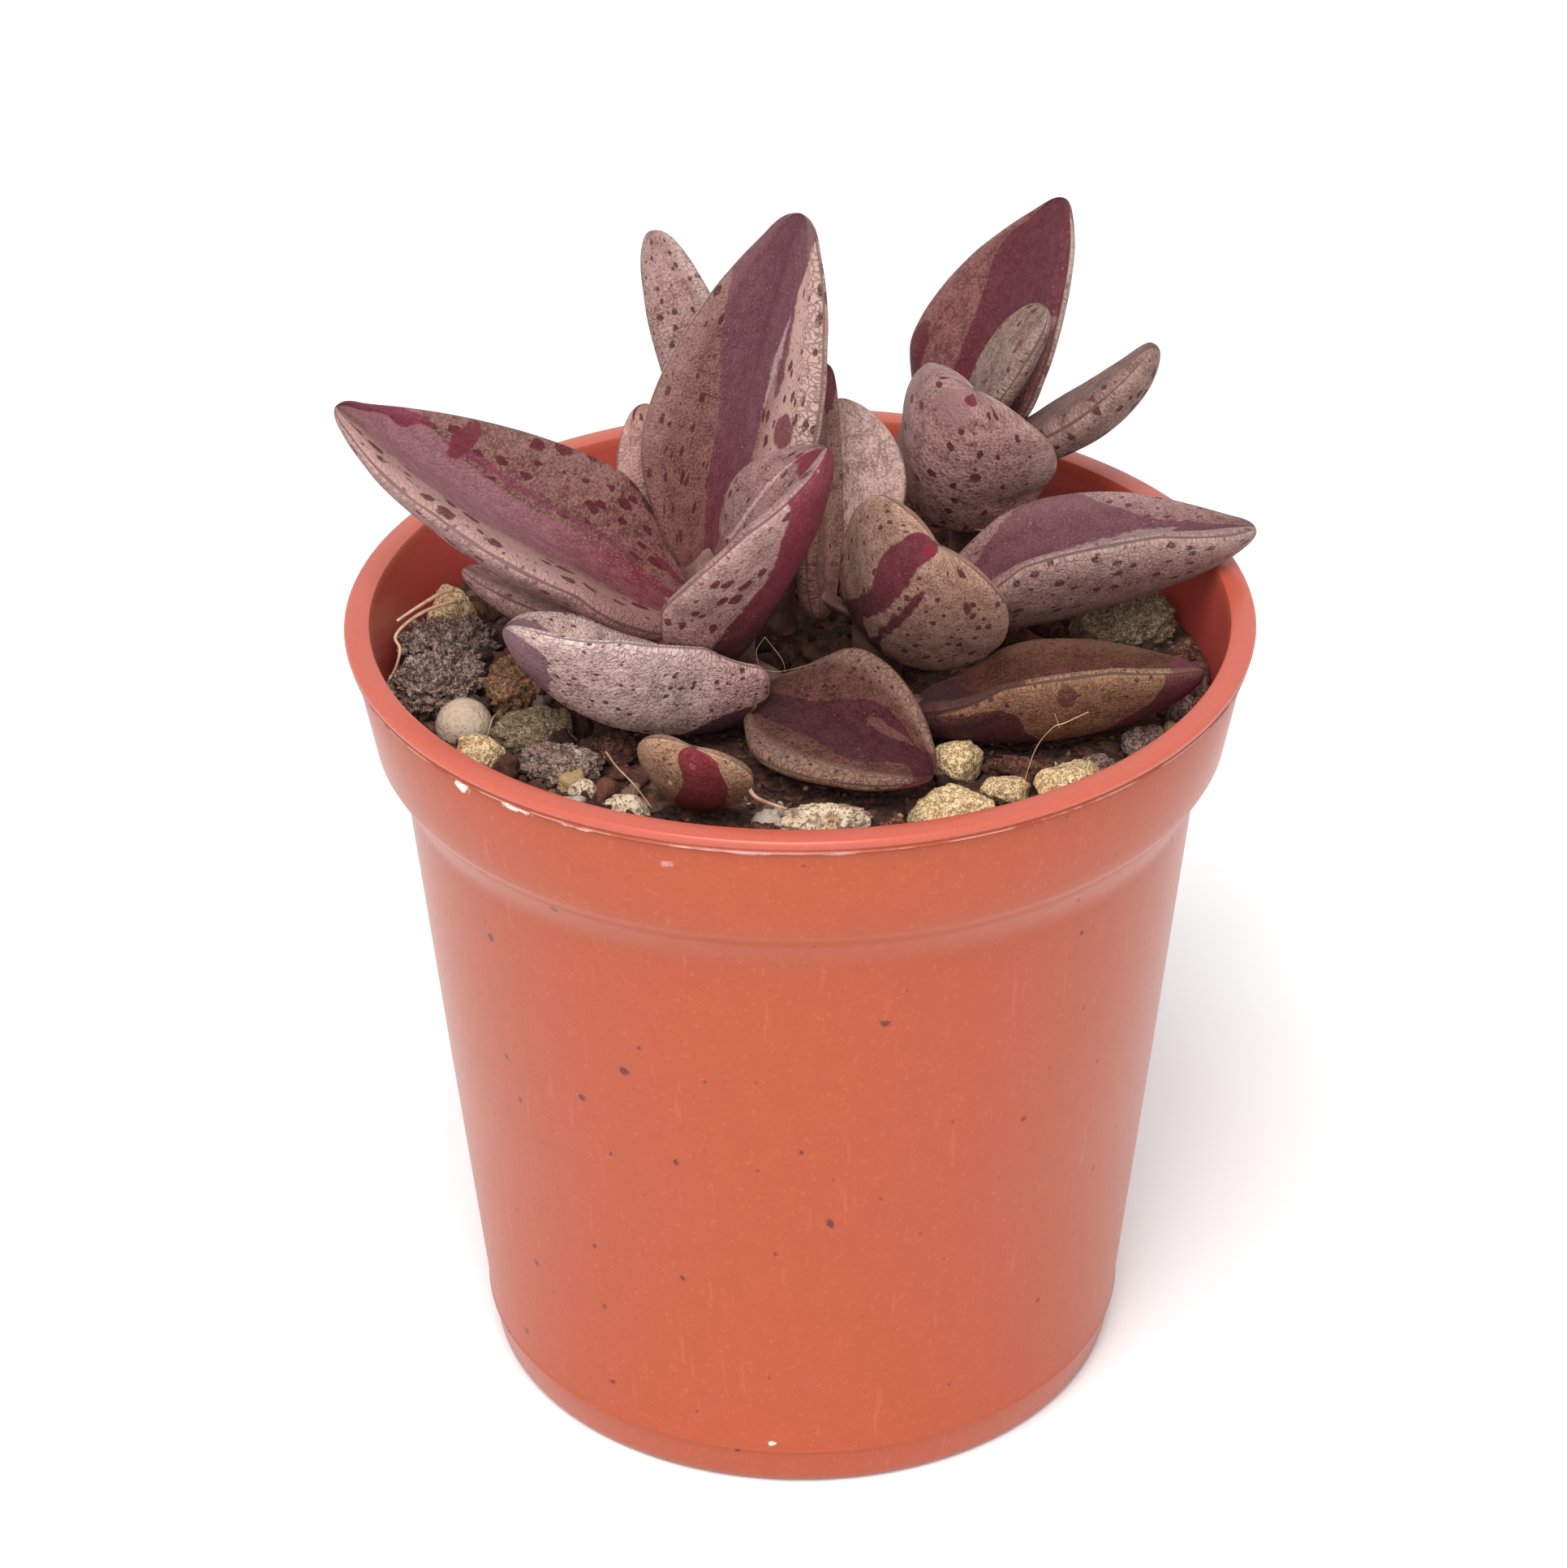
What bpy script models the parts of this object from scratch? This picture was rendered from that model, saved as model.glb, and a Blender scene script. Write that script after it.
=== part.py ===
"""Potted lenophyllum: six leafy shoots in the gritty soil of a small nursery pot. Lengths are in millimetres."""

from math import copysign, cos, hypot, pi, radians, sin, sqrt

import bmesh
import bpy
from mathutils import Euler, Matrix, Vector, noise
from mathutils.geometry import delaunay_2d_cdt

# The scene is in metres
MM = 0.001

# Clear space between pieces that touch on the real thing
TOUCH_GAP = 0.33

# Pot: radius and height of each corner, outside from the base up and inside from the rim down
POT_SIDES = 56
POT_HEIGHT = 51.0
RIM_RADIUS = 27.5
RIM_INNER_RADIUS = 26.0
BASE_RADIUS = 20.0
FLOOR_THICKNESS = 1.5
POT_OUTSIDE = [
    (BASE_RADIUS - 0.4, 0.0),
    (BASE_RADIUS, 0.4),
    (20.35, 2.7),
    (24.2, 40.1),
    (24.45, 41.2),
    (25.2, 42.8),
    (25.9, 43.7),
    (27.1, 50.2),
    (27.4, 50.45),
    (RIM_RADIUS, 50.8),
    (RIM_RADIUS - 0.1, POT_HEIGHT),
]
POT_INSIDE = [
    (RIM_INNER_RADIUS, POT_HEIGHT),
    (25.85, 50.8),
    (25.0, 43.6),
    (23.3, 39.8),
    (19.4, FLOOR_THICKNESS),
]
DRAIN_HOLES = 4
DRAIN_HOLE_RADIUS = 2.5
DRAIN_CIRCLE_RADIUS = 11.5

# Soil: its mean level, the spacing of the points of its surface, and its relief
SOIL_LEVEL = 45.8
SOIL_BOTTOM = FLOOR_THICKNESS + TOUCH_GAP
SOIL_SPACING = 1.95
SOIL_RELIEF = 0.3
BED_SPREAD = 1.12
STEM_BURIED_TO = 40.0
STEM_HOLE_SIDES = 24

# Leaves: stations along each one, and points around it
LEAF_STATIONS = 12
LEAF_RING = 14
HEEL_LENGTH = 0.08
STEM_SIDES = 10
STALK_WIDTH_SHARE = 0.78
STALK_THICKNESS_SHARE = 0.8
STALK_SINKS_IN = 0.1

# Each leaf runs from foot to tip. Width and thick are its greatest measures, fold is the angle of its two halves,
# bow sags it, sway bends it sideways, roll and twist turn it about its length, peak is where it is widest,
# neck is the share of its width at the foot, a lower blunt fills out the tip, and nose is the radius it ends in.
SHOOTS = {
    "shoot_left": {
        "stem": {"x": -4.3, "y": -1.6, "top": 51.6, "radius": 1.7},
        "leaves": [
            dict(foot=(-6.3, -1.1, 50.6), tip=(-27.4, 0.4, 64.4), width=13.4, thick=2.4, bow=1.9, sway=0.2,
                 roll=-15, twist=-15, fold=36, peak=0.33, neck=0.34, blunt=0.84, nose=1.0),
            dict(foot=(-5.8, 0.6, 52.5), tip=(0.2, 10.0, 72.4), width=12.4, thick=2.7, bow=1.4, sway=-0.4,
                 roll=14, twist=5, fold=33, peak=0.36, neck=0.32, blunt=0.82, nose=1.4),
            dict(foot=(-5.1, -5.0, 50.8), tip=(1.6, -6.8, 65.1), width=13.0, thick=2.5, bow=0.6, sway=0.9,
                 roll=-16, twist=44, fold=36, peak=0.36, neck=0.60, blunt=0.66, nose=0.9),
            dict(foot=(-2.4, -6.0, 48.3), tip=(-17.3, -9.4, 54.8), width=11.8, thick=2.3, bow=2.6,
                 roll=36, twist=-30, fold=44, peak=0.50, neck=0.72, blunt=0.42, nose=0.9),
            dict(foot=(-6.2, -0.6, 47.6), tip=(-20.5, 2.8, 52.2), width=6.5, thick=1.8, bow=0.8,
                 roll=7, fold=24, peak=0.45, neck=0.42, blunt=0.70, nose=0.9),
            dict(foot=(-2.6, -6.6, 48.3), tip=(7.6, -15.8, 48.4), width=10.5, thick=2.2, bow=0.0,
                 roll=20, twist=8, fold=24, peak=0.40, neck=0.30, blunt=0.80, nose=1.2),
            dict(foot=(-6.0, 0.9, 48.6), tip=(-9.6, 10.0, 59.8), width=6.4, thick=2.0, bow=0.4,
                 roll=-15, fold=25, peak=0.53, neck=0.42, blunt=0.64, nose=0.8),
        ],
    },
    "shoot_middle": {
        "stem": {"x": 4.7, "y": 1.6, "top": 50.6, "radius": 1.6},
        "leaves": [
            dict(foot=(5.1, -0.9, 49.5), tip=(7.9, -9.8, 60.3), width=12.9, thick=2.4, bow=0.2,
                 roll=-54, fold=25, peak=0.36, neck=0.60, blunt=0.48, nose=1.0),
            dict(foot=(6.9, 1.6, 49.2), tip=(28.0, 6.0, 53.0), width=11.6, thick=2.7, bow=0.4, sway=0.2,
                 roll=-4, twist=4, fold=47, peak=0.43, neck=0.34, blunt=0.82, nose=1.1),
            dict(foot=(1.2, 1.4, 49.4), tip=(1.5, 8.4, 63.3), width=4.2, thick=1.8, bow=0.6,
                 roll=56, twist=3, fold=23, peak=0.38, neck=0.50, blunt=0.45, nose=0.7),
            dict(foot=(3.9, 4.3, 51.0), tip=(2.6, 12.5, 58.9), width=7.2, thick=2.0, bow=0.8,
                 fold=21, peak=0.55, neck=0.41, blunt=0.62, nose=0.4),
        ],
    },
    "shoot_back": {
        "stem": {"x": 10.8, "y": 15.6, "top": 53.0, "radius": 1.3},
        "leaves": [
            dict(foot=(9.1, 19.3, 50.9), tip=(16.9, 24.0, 67.2), width=13.4, thick=2.2, bow=0.3, sway=0.3,
                 roll=2, twist=-4, fold=14, peak=0.36, neck=0.36, blunt=0.82, nose=1.2),
            dict(foot=(9.3, 13.5, 50.3), tip=(10.7, 9.2, 61.0), width=13.2, thick=2.5, bow=0.7, sway=0.2,
                 roll=-48, twist=-7, fold=36, peak=0.48, neck=0.66, blunt=0.52, nose=1.0),
            dict(foot=(10.4, 14.4, 54.6), tip=(15.4, 15.2, 63.7), width=5.4, thick=2.0, bow=-0.3,
                 roll=-3, twist=10, fold=8, peak=0.55, neck=0.40, blunt=0.49, nose=0.8),
            dict(foot=(12.3, 14.1, 54.5), tip=(22.0, 13.0, 62.0), width=6.2, thick=2.5, bow=1.3, sway=-0.2,
                 roll=-6, twist=-4, fold=12, peak=0.44, neck=0.36, blunt=0.42, nose=0.8),
        ],
    },
    "shoot_right_low": {
        "stem": {"x": 4.5, "y": -6.9, "top": 49.4, "radius": 1.1},
        "leaves": [
            dict(foot=(6.6, -7.7, 48.2), tip=(23.9, -7.1, 50.3), width=10.8, thick=2.4, bow=1.2, sway=0.3,
                 roll=-10, twist=-6, fold=37, peak=0.46, neck=0.34, blunt=0.66, nose=1.25),
        ],
    },
    "shoot_front": {
        "stem": {"x": -5.7, "y": -14.0, "top": 48.2, "radius": 1.1},
        "leaves": [
            dict(foot=(-6.1, -15.3, 47.0), tip=(-6.2, -20.0, 52.8), width=7.0, thick=1.9, bow=0.3,
                 roll=-12, twist=-7, fold=9, peak=0.58, neck=0.60, blunt=0.42, nose=0.8),
        ],
    },
    "shoot_left_back": {
        "stem": {"x": -1.4, "y": 7.2, "top": 50.8, "radius": 1.2},
        "leaves": [
            dict(foot=(-1.7, 8.4, 51.2), tip=(-9.0, 15.5, 68.9), width=7.0, thick=2.2, bow=1.2,
                 roll=85, fold=34, peak=0.50, neck=0.42, blunt=0.46, nose=1.0),
        ],
    },
}

# Stones: place on the soil, half measures along, across and up, turn about the vertical, and how rugged each one is
STONES = {
    "clay_prill": dict(at=(-20.2, -5.3), half=(1.75, 1.75, 1.7), turn=0, rugged=0.05, kind="clay"),
    "pumice_left": dict(at=(-19.1, -9.3), half=(1.9, 1.4, 1.3), turn=-30, rugged=0.5, kind="pumice"),
    "pumice_green": dict(at=(-15.9, -6.7), half=(2.4, 1.65, 1.6), turn=10, rugged=0.5, kind="grey_green"),
    "lava_left": dict(at=(-21.9, -1.7), half=(3.0, 2.2, 2.6), turn=20, rugged=0.8, kind="lava"),
    "lava_upper": dict(at=(-21.6, 3.9), half=(3.1, 2.1, 2.1), turn=15, rugged=0.8, kind="lava"),
    "lava_wall": dict(at=(-23.8, 1.3), half=(0.85, 0.75, 0.85), turn=0, rugged=0.8, kind="lava"),
    "lava_brown": dict(at=(-17.4, -2.0), half=(1.8, 1.8, 2.2), turn=40, rugged=0.7, kind="brown"),
    "pumice_pointed": dict(at=(-21.4, 8.2), half=(1.8, 1.4, 2.3), turn=0, rugged=0.7, kind="pumice"),
    "gravel_left": dict(at=(-14.4, -10.6), half=(2.7, 1.6, 1.6), turn=-20, rugged=0.9, kind="gravel"),
    "bark_crumb_left": dict(at=(-11.0, -8.6), half=(1.8, 1.3, 1.2), turn=25, rugged=0.9, kind="bark"),
    "quartz_crumb": dict(at=(-12.8, -13.6), half=(0.9, 0.8, 1.0), turn=0, rugged=0.7, kind="quartz"),
    "pebble_cream": dict(at=(-10.2, -15.3), half=(1.4, 1.05, 0.9), turn=-15, rugged=0.4, kind="quartz"),
    "pumice_sliver": dict(at=(-6.2, -20.0), half=(1.8, 0.8, 0.7), turn=-10, rugged=0.5, kind="pumice"),
    "bark_front": dict(at=(-2.5, -18.6), half=(1.4, 1.0, 0.8), turn=30, rugged=0.9, kind="bark"),
    "gravel_cream": dict(at=(1.4, -17.1), half=(3.0, 1.6, 1.25), turn=5, rugged=0.8, kind="quartz"),
    "bark_mid": dict(at=(5.3, -17.8), half=(0.95, 0.8, 0.9), turn=0, rugged=0.9, kind="bark"),
    "pumice_big": dict(at=(8.8, -16.0), half=(3.1, 2.1, 1.6), turn=-15, rugged=0.6, kind="pumice"),
    "pumice_middle": dict(at=(9.2, -10.6), half=(1.6, 1.4, 1.75), turn=30, rugged=0.6, kind="pumice"),
    "bark_strip": dict(at=(12.8, -11.0), half=(2.2, 0.7, 0.7), turn=-10, rugged=0.7, kind="bark"),
    "pumice_right_a": dict(at=(12.0, -13.5), half=(1.6, 1.25, 1.1), turn=20, rugged=0.6, kind="pumice"),
    "pumice_right_b": dict(at=(15.6, -13.0), half=(2.2, 1.6, 1.5), turn=35, rugged=0.6, kind="pumice"),
    "gravel_small": dict(at=(12.4, -16.6), half=(1.2, 0.8, 0.7), turn=0, rugged=0.7, kind="gravel"),
    "pumice_low": dict(at=(5.2, -20.4), half=(1.3, 0.7, 0.6), turn=5, rugged=0.5, kind="pumice"),
    "gravel_right_a": dict(at=(20.3, -8.2), half=(1.7, 1.2, 1.0), turn=40, rugged=0.8, kind="gravel"),
    "gravel_right_b": dict(at=(22.9, -4.6), half=(1.2, 1.0, 1.2), turn=60, rugged=0.8, kind="gravel"),
    "gravel_right_c": dict(at=(17.5, -10.6), half=(1.1, 0.9, 0.8), turn=0, rugged=0.8, kind="gravel"),
    "pumice_pitted": dict(at=(20.2, 5.9), half=(3.2, 2.2, 2.3), turn=10, rugged=0.6, kind="grey_green"),
    "bark_right": dict(at=(15.3, 6.8), half=(1.6, 1.0, 0.8), turn=-30, rugged=0.9, kind="bark"),
    "bark_wall": dict(at=(23.4, 2.6), half=(0.9, 0.8, 0.8), turn=0, rugged=0.8, kind="bark"),
    "pumice_back": dict(at=(4.9, 19.6), half=(1.6, 1.2, 1.1), turn=15, rugged=0.6, kind="pumice"),
    "lava_back": dict(at=(-4.6, 19.0), half=(2.0, 1.5, 1.3), turn=-20, rugged=0.8, kind="lava"),
    "gravel_back": dict(at=(-14.3, 14.2), half=(1.8, 1.4, 1.1), turn=45, rugged=0.8, kind="gravel"),
    "pumice_back_left": dict(at=(-9.8, 19.8), half=(1.4, 1.1, 1.0), turn=0, rugged=0.6, kind="pumice"),
    "lava_back_right": dict(at=(17.6, 14.6), half=(1.6, 1.3, 1.2), turn=30, rugged=0.8, kind="lava"),
}
STONE_SINKS = 0.4
STONE_DETAIL = 2
RUGGED_DEPTH = 0.22

# Base colour and roughness of each material
FINISHES = {
    "pot": ((0.58, 0.13, 0.07, 1.0), 0.42),
    "soil": ((0.035, 0.022, 0.018, 1.0), 0.95),
    "leaf": ((0.36, 0.27, 0.25, 1.0), 0.55),
    "clay": ((0.55, 0.47, 0.36, 1.0), 0.85),
    "pumice": ((0.55, 0.42, 0.20, 1.0), 0.9),
    "grey_green": ((0.27, 0.25, 0.15, 1.0), 0.9),
    "lava": ((0.08, 0.07, 0.07, 1.0), 0.95),
    "brown": ((0.16, 0.09, 0.05, 1.0), 0.9),
    "gravel": ((0.18, 0.16, 0.15, 1.0), 0.85),
    "quartz": ((0.55, 0.50, 0.42, 1.0), 0.8),
    "bark": ((0.09, 0.045, 0.03, 1.0), 0.9),
}


def clear_scene():
    for item in list(bpy.data.objects):
        bpy.data.objects.remove(item, do_unlink=True)


def add_solid(name, vertices, faces, finish, sharp_angle=35.0):
    """A closed solid with its own material. Its vertices come in millimetres, and its faces are turned outwards."""
    mesh = bpy.data.meshes.new(name)
    mesh.from_pydata([Vector(v) * MM for v in vertices], [], faces)
    turning = bmesh.new()
    turning.from_mesh(mesh)
    bmesh.ops.recalc_face_normals(turning, faces=turning.faces)
    turning.to_mesh(mesh)
    turning.free()
    solid = bpy.data.objects.new(name, mesh)
    bpy.context.scene.collection.objects.link(solid)
    colour, roughness = FINISHES[finish]
    material = bpy.data.materials.new(name)
    material.use_nodes = True
    surface = material.node_tree.nodes["Principled BSDF"]
    surface.inputs["Base Color"].default_value = colour
    surface.inputs["Roughness"].default_value = roughness
    surface.inputs["Metallic"].default_value = 0.0
    mesh.materials.append(material)
    shade(solid, sharp_angle)
    return solid


def shade(solid, sharp_angle):
    solid.data.shade_smooth()
    solid.data.set_sharp_from_angle(angle=radians(sharp_angle))


def subtract(solid, cutter):
    """Cuts the cutter out of the solid. The cutter stays in the file, but is neither rendered nor exported."""
    cutter.hide_render = True
    cutter.display_type = "WIRE"
    cut = solid.modifiers.new(cutter.name, "BOOLEAN")
    cut.operation = "DIFFERENCE"
    cut.solver = "EXACT"
    cut.object = cutter


def ring_faces(rings, sides):
    """Quads between rings of vertices that follow each other in one list."""
    faces = []
    for ring in range(rings - 1):
        for side in range(sides):
            beside = (side + 1) % sides
            low = ring * sides
            high = low + sides
            faces.append((low + side, low + beside, high + beside, high + side))
    return faces


def circle(radius, height, sides, x=0.0, y=0.0):
    """The corners of a level polygon, one of them on +X."""
    corners = []
    for side in range(sides):
        angle = 2 * pi * side / sides
        corners.append((x + radius * cos(angle), y + radius * sin(angle), height))
    return corners


def upright_cylinder(name, x, y, low, high, radius, sides, finish):
    vertices = circle(radius, low, sides, x, y) + circle(radius, high, sides, x, y)
    faces = ring_faces(2, sides)
    faces.append(tuple(range(sides)))
    faces.append(tuple(range(sides, 2 * sides)))
    return add_solid(name, vertices, faces, finish)


def inner_radius(height):
    """Radius of the pot's inside wall at a height."""
    for (upper_radius, upper), (lower_radius, lower) in zip(POT_INSIDE, POT_INSIDE[1:]):
        if lower <= height <= upper:
            share = (height - lower) / (upper - lower)
            return lower_radius + (upper_radius - lower_radius) * share
    return POT_INSIDE[-1][0]


def make_pot():
    profile = POT_OUTSIDE + POT_INSIDE
    vertices = []
    for radius, height in profile:
        vertices += circle(radius, height, POT_SIDES)
    faces = ring_faces(len(profile), POT_SIDES)
    faces.append(tuple(range(POT_SIDES)))
    last = (len(profile) - 1) * POT_SIDES
    faces.append(tuple(range(last, last + POT_SIDES)))
    pot = add_solid("pot", vertices, faces, "pot")
    for hole in range(DRAIN_HOLES):
        angle = 2 * pi * (hole + 0.5) / DRAIN_HOLES
        x = DRAIN_CIRCLE_RADIUS * cos(angle)
        y = DRAIN_CIRCLE_RADIUS * sin(angle)
        name = f"drain_cutter_{hole + 1}"
        cutter = upright_cylinder(name, x, y, -1.0, FLOOR_THICKNESS + 1.0, DRAIN_HOLE_RADIUS, STEM_HOLE_SIDES, "pot")
        subtract(pot, cutter)
    return pot


def turned(vector, axis, angle):
    """The vector after a right-hand turn in degrees about the axis."""
    return Matrix.Rotation(radians(angle), 3, axis) @ vector


def leaf_frame(leaf, u):
    """Centre of the leaf at the share u of its length, with its directions along, across and up."""
    foot = Vector(leaf["foot"])
    chord = Vector(leaf["tip"]) - foot
    along = chord.normalized()
    up = Vector((0.0, 0.0, 1.0))
    up = (up - up.dot(along) * along).normalized()
    up = turned(up, along, leaf.get("roll", 0.0))
    across = along.cross(up)
    hump = 4 * u * (1 - u)
    slope = 4 * (1 - 2 * u)
    bow = leaf.get("bow", 0.0)
    sway = leaf.get("sway", 0.0)
    centre = foot + chord * u - up * bow * hump + across * sway * hump
    heading = (chord - up * bow * slope + across * sway * slope).normalized()
    face = (up - up.dot(heading) * heading).normalized()
    face = turned(face, heading, leaf.get("twist", 0.0) * u)
    return centre, heading, heading.cross(face), face


def leaf_width(leaf, u):
    """Half the leaf's width at the share u of its length, with the rounding of its heel."""
    peak = leaf["peak"]
    if u < peak:
        share = leaf["neck"] + (1 - leaf["neck"]) * sin(pi / 2 * u / peak) ** 1.3
    else:
        share = (1 - ((u - peak) / (1 - peak)) ** 1.9) ** leaf["blunt"]
    heel = sqrt(1 - (1 - min(u / HEEL_LENGTH, 1.0)) ** 2)
    nose = leaf["nose"]
    length = (Vector(leaf["tip"]) - Vector(leaf["foot"])).length
    rounding = sqrt(nose**2 - (nose - min((1 - u) * length, nose)) ** 2)
    half = ((leaf["width"] / 2 * share) ** 4 + rounding**4) ** 0.25
    return half * heel, heel


def leaf_ring(leaf, u, points):
    """Points around the leaf at the share u of its length: a thick boat section with rounded margins."""
    soft = 0.3
    keel = 0.35
    centre, _, across, face = leaf_frame(leaf, u)
    half, heel = leaf_width(leaf, u)
    thick = leaf["thick"] / 2 * (1 - u**6) ** 0.5 * heel * (0.85 + 0.15 * sin(pi * u))
    thick = min(thick, 0.9 * half + 0.01)
    fold = radians(leaf["fold"]) * min(1.0, 0.35 + 2.2 * u) * (1 - 0.35 * max(0.0, (u - 0.7) / 0.3))
    span = sqrt(1 + soft**2) - soft
    ring = []
    for point in range(points):
        angle = 2 * pi * point / points
        v = copysign(abs(cos(angle)) ** 0.85, cos(angle))
        side = half * v * cos(fold)
        rise = half * (sqrt(v * v + soft**2) - soft) / span * sin(fold)
        lean = sin(fold) * v / sqrt(v * v + soft**2) / span
        length = hypot(lean, cos(fold))
        if sin(angle) >= 0:
            offset = 0.9 * thick * sin(angle) ** 0.8
        else:
            offset = -thick * abs(sin(angle)) ** 0.8 * (1 + keel * (1 - v * v))
        side -= lean / length * offset
        rise += cos(fold) / length * offset
        ring.append(centre + across * side + face * rise)
    return ring


def make_leaf(name, leaf):
    vertices = []
    for station in range(1, LEAF_STATIONS):
        u = 0.5 - 0.5 * cos(pi * station / LEAF_STATIONS)
        vertices += leaf_ring(leaf, u, LEAF_RING)
    rings = LEAF_STATIONS - 1
    faces = []
    for a, b, c, d in ring_faces(rings, LEAF_RING):
        faces += [(a, b, c), (a, c, d)]
    foot = len(vertices)
    tip = foot + 1
    vertices += [Vector(leaf["foot"]), Vector(leaf["tip"])]
    last = (rings - 1) * LEAF_RING
    for point in range(LEAF_RING):
        beside = (point + 1) % LEAF_RING
        faces.append((foot, beside, point))
        faces.append((tip, last + point, last + beside))
    return add_solid(name, vertices, faces, "leaf")


def make_rod(name, sections, sides):
    """A rod through sections, each a centre and its two half measures as vectors, with flat ends."""
    vertices = []
    for centre, half_wide, half_thick in sections:
        for side in range(sides):
            angle = 2 * pi * side / sides
            vertices.append(centre + half_wide * cos(angle) + half_thick * sin(angle))
    faces = ring_faces(len(sections), sides)
    faces.append(tuple(range(sides)))
    faces.append(tuple(range(len(vertices) - sides, len(vertices))))
    return add_solid(name, vertices, faces, "leaf")


def make_stem(name, stem):
    x, y, top, radius = stem["x"], stem["y"], stem["top"], stem["radius"]
    heights = [STEM_BURIED_TO, SOIL_LEVEL, top - 0.9 * radius, top - 0.3 * radius, top]
    shares = [1.0, 1.0, 0.95, 0.75, 0.3]
    sections = []
    for height, share in zip(heights, shares):
        reach = radius * share
        sections.append((Vector((x, y, height)), Vector((reach, 0.0, 0.0)), Vector((0.0, reach, 0.0))))
    return make_rod(name, sections, STEM_SIDES)


def make_stalk(name, stem, leaf):
    """The clasping foot of a leaf: a flattened stalk from the middle of the stem into the leaf."""
    inside, _, across, face = leaf_frame(leaf, STALK_SINKS_IN)
    half_wide = STALK_WIDTH_SHARE * leaf_width(leaf, STALK_SINKS_IN)[0] * across
    half_thick = STALK_THICKNESS_SHARE * leaf["thick"] / 2 * face
    height = min(max(leaf["foot"][2] - 0.6, SOIL_LEVEL + 1.2), stem["top"] - 0.8)
    start = Vector((stem["x"], stem["y"], height))
    sections = [
        (start, 0.6 * half_wide, 0.9 * half_thick),
        (start.lerp(inside, 0.55), 0.9 * half_wide, half_thick),
        (inside, half_wide, half_thick),
    ]
    return make_rod(name, sections, STEM_SIDES)


def make_shoot(name, shoot):
    """A stem with its leaves, grown together as one body."""
    body = make_stem(name, shoot["stem"])
    grown = bpy.data.collections.new(name + "_grown")
    bpy.context.scene.collection.children.link(grown)
    pieces = []
    for number, leaf in enumerate(shoot["leaves"], start=1):
        pieces.append(make_leaf(f"{name}_leaf_{number}", leaf))
        pieces.append(make_stalk(f"{name}_stalk_{number}", shoot["stem"], leaf))
    for piece in pieces:
        bpy.context.scene.collection.objects.unlink(piece)
        grown.objects.link(piece)
    union = body.modifiers.new("grown_together", "BOOLEAN")
    union.operation = "UNION"
    union.solver = "EXACT"
    union.operand_type = "COLLECTION"
    union.collection = grown
    seen = body.evaluated_get(bpy.context.evaluated_depsgraph_get())
    joined = bpy.data.meshes.new_from_object(seen)
    body.modifiers.clear()
    material = body.data.materials[0]
    body.data = joined
    joined.name = name
    joined.materials.clear()
    joined.materials.append(material)
    for polygon in joined.polygons:
        polygon.material_index = 0
    shade(body, 35.0)
    for piece in pieces:
        bpy.data.objects.remove(piece, do_unlink=True)
    bpy.data.collections.remove(grown)
    return body


def stone_centre(stone):
    x, y = stone["at"]
    lift = stone["half"][2] * (1 - 2 * STONE_SINKS)
    return Vector((x, y, bare_soil_height(x, y) + lift))


def make_stone(name, stone, seed):
    """A rugged pebble: a faceted ball pressed in by smooth noise, never past its half measures."""
    ball = bmesh.new()
    bmesh.ops.create_icosphere(ball, subdivisions=STONE_DETAIL, radius=1.0)
    turn = Euler((0.0, 0.0, radians(stone["turn"]))).to_matrix()
    size = Vector(stone["half"])
    centre = stone_centre(stone)
    vertices = []
    for vertex in ball.verts:
        direction = vertex.co.normalized()
        bumps = 0.5 + 0.5 * noise.noise(direction * 1.7 + Vector((seed * 3.7, seed * 1.3, 0.0)))
        reach = 1.0 - RUGGED_DEPTH * stone["rugged"] * 2 * bumps
        vertices.append(centre + turn @ (Vector(a * b for a, b in zip(direction, size)) * reach))
    faces = [tuple(v.index for v in face.verts) for face in ball.faces]
    ball.free()
    return add_solid(name, vertices, faces, stone["kind"], sharp_angle=45.0)


def bare_soil_height(x, y):
    """Level of the soil before the stones press into it."""
    waves = 0.5 * sin(0.55 * x + 0.8) * cos(0.47 * y - 0.4)
    lumps = noise.noise(Vector((0.45 * x, 0.45 * y, 3.0)))
    return SOIL_LEVEL + SOIL_RELIEF * (waves + lumps)


def stone_bed_height(stone, x, y):
    """Height of the underside of a stone over a point, or None beside the stone."""
    centre = stone_centre(stone)
    angle = -radians(stone["turn"])
    across = x - centre.x
    away = y - centre.y
    along = across * cos(angle) - away * sin(angle)
    aside = across * sin(angle) + away * cos(angle)
    half_long, half_wide, half_high = stone["half"]
    share = ((along / half_long) ** 2 + (aside / half_wide) ** 2) / BED_SPREAD**2
    if share >= 1:
        return None
    return centre.z - half_high * sqrt(1 - share)


def soil_height(x, y, low_points):
    """Level of the soil, lowered under stones and under the leaves that lie close to it."""
    height = bare_soil_height(x, y)
    for stone in STONES.values():
        if hypot(x - stone["at"][0], y - stone["at"][1]) < 3.5:
            bed = stone_bed_height(stone, x, y)
            if bed is not None:
                height = min(height, bed - TOUCH_GAP)
    for point in low_points:
        if abs(point.x - x) < 1.3 and abs(point.y - y) < 1.3:
            height = min(height, point.z - TOUCH_GAP)
    return height


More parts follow.
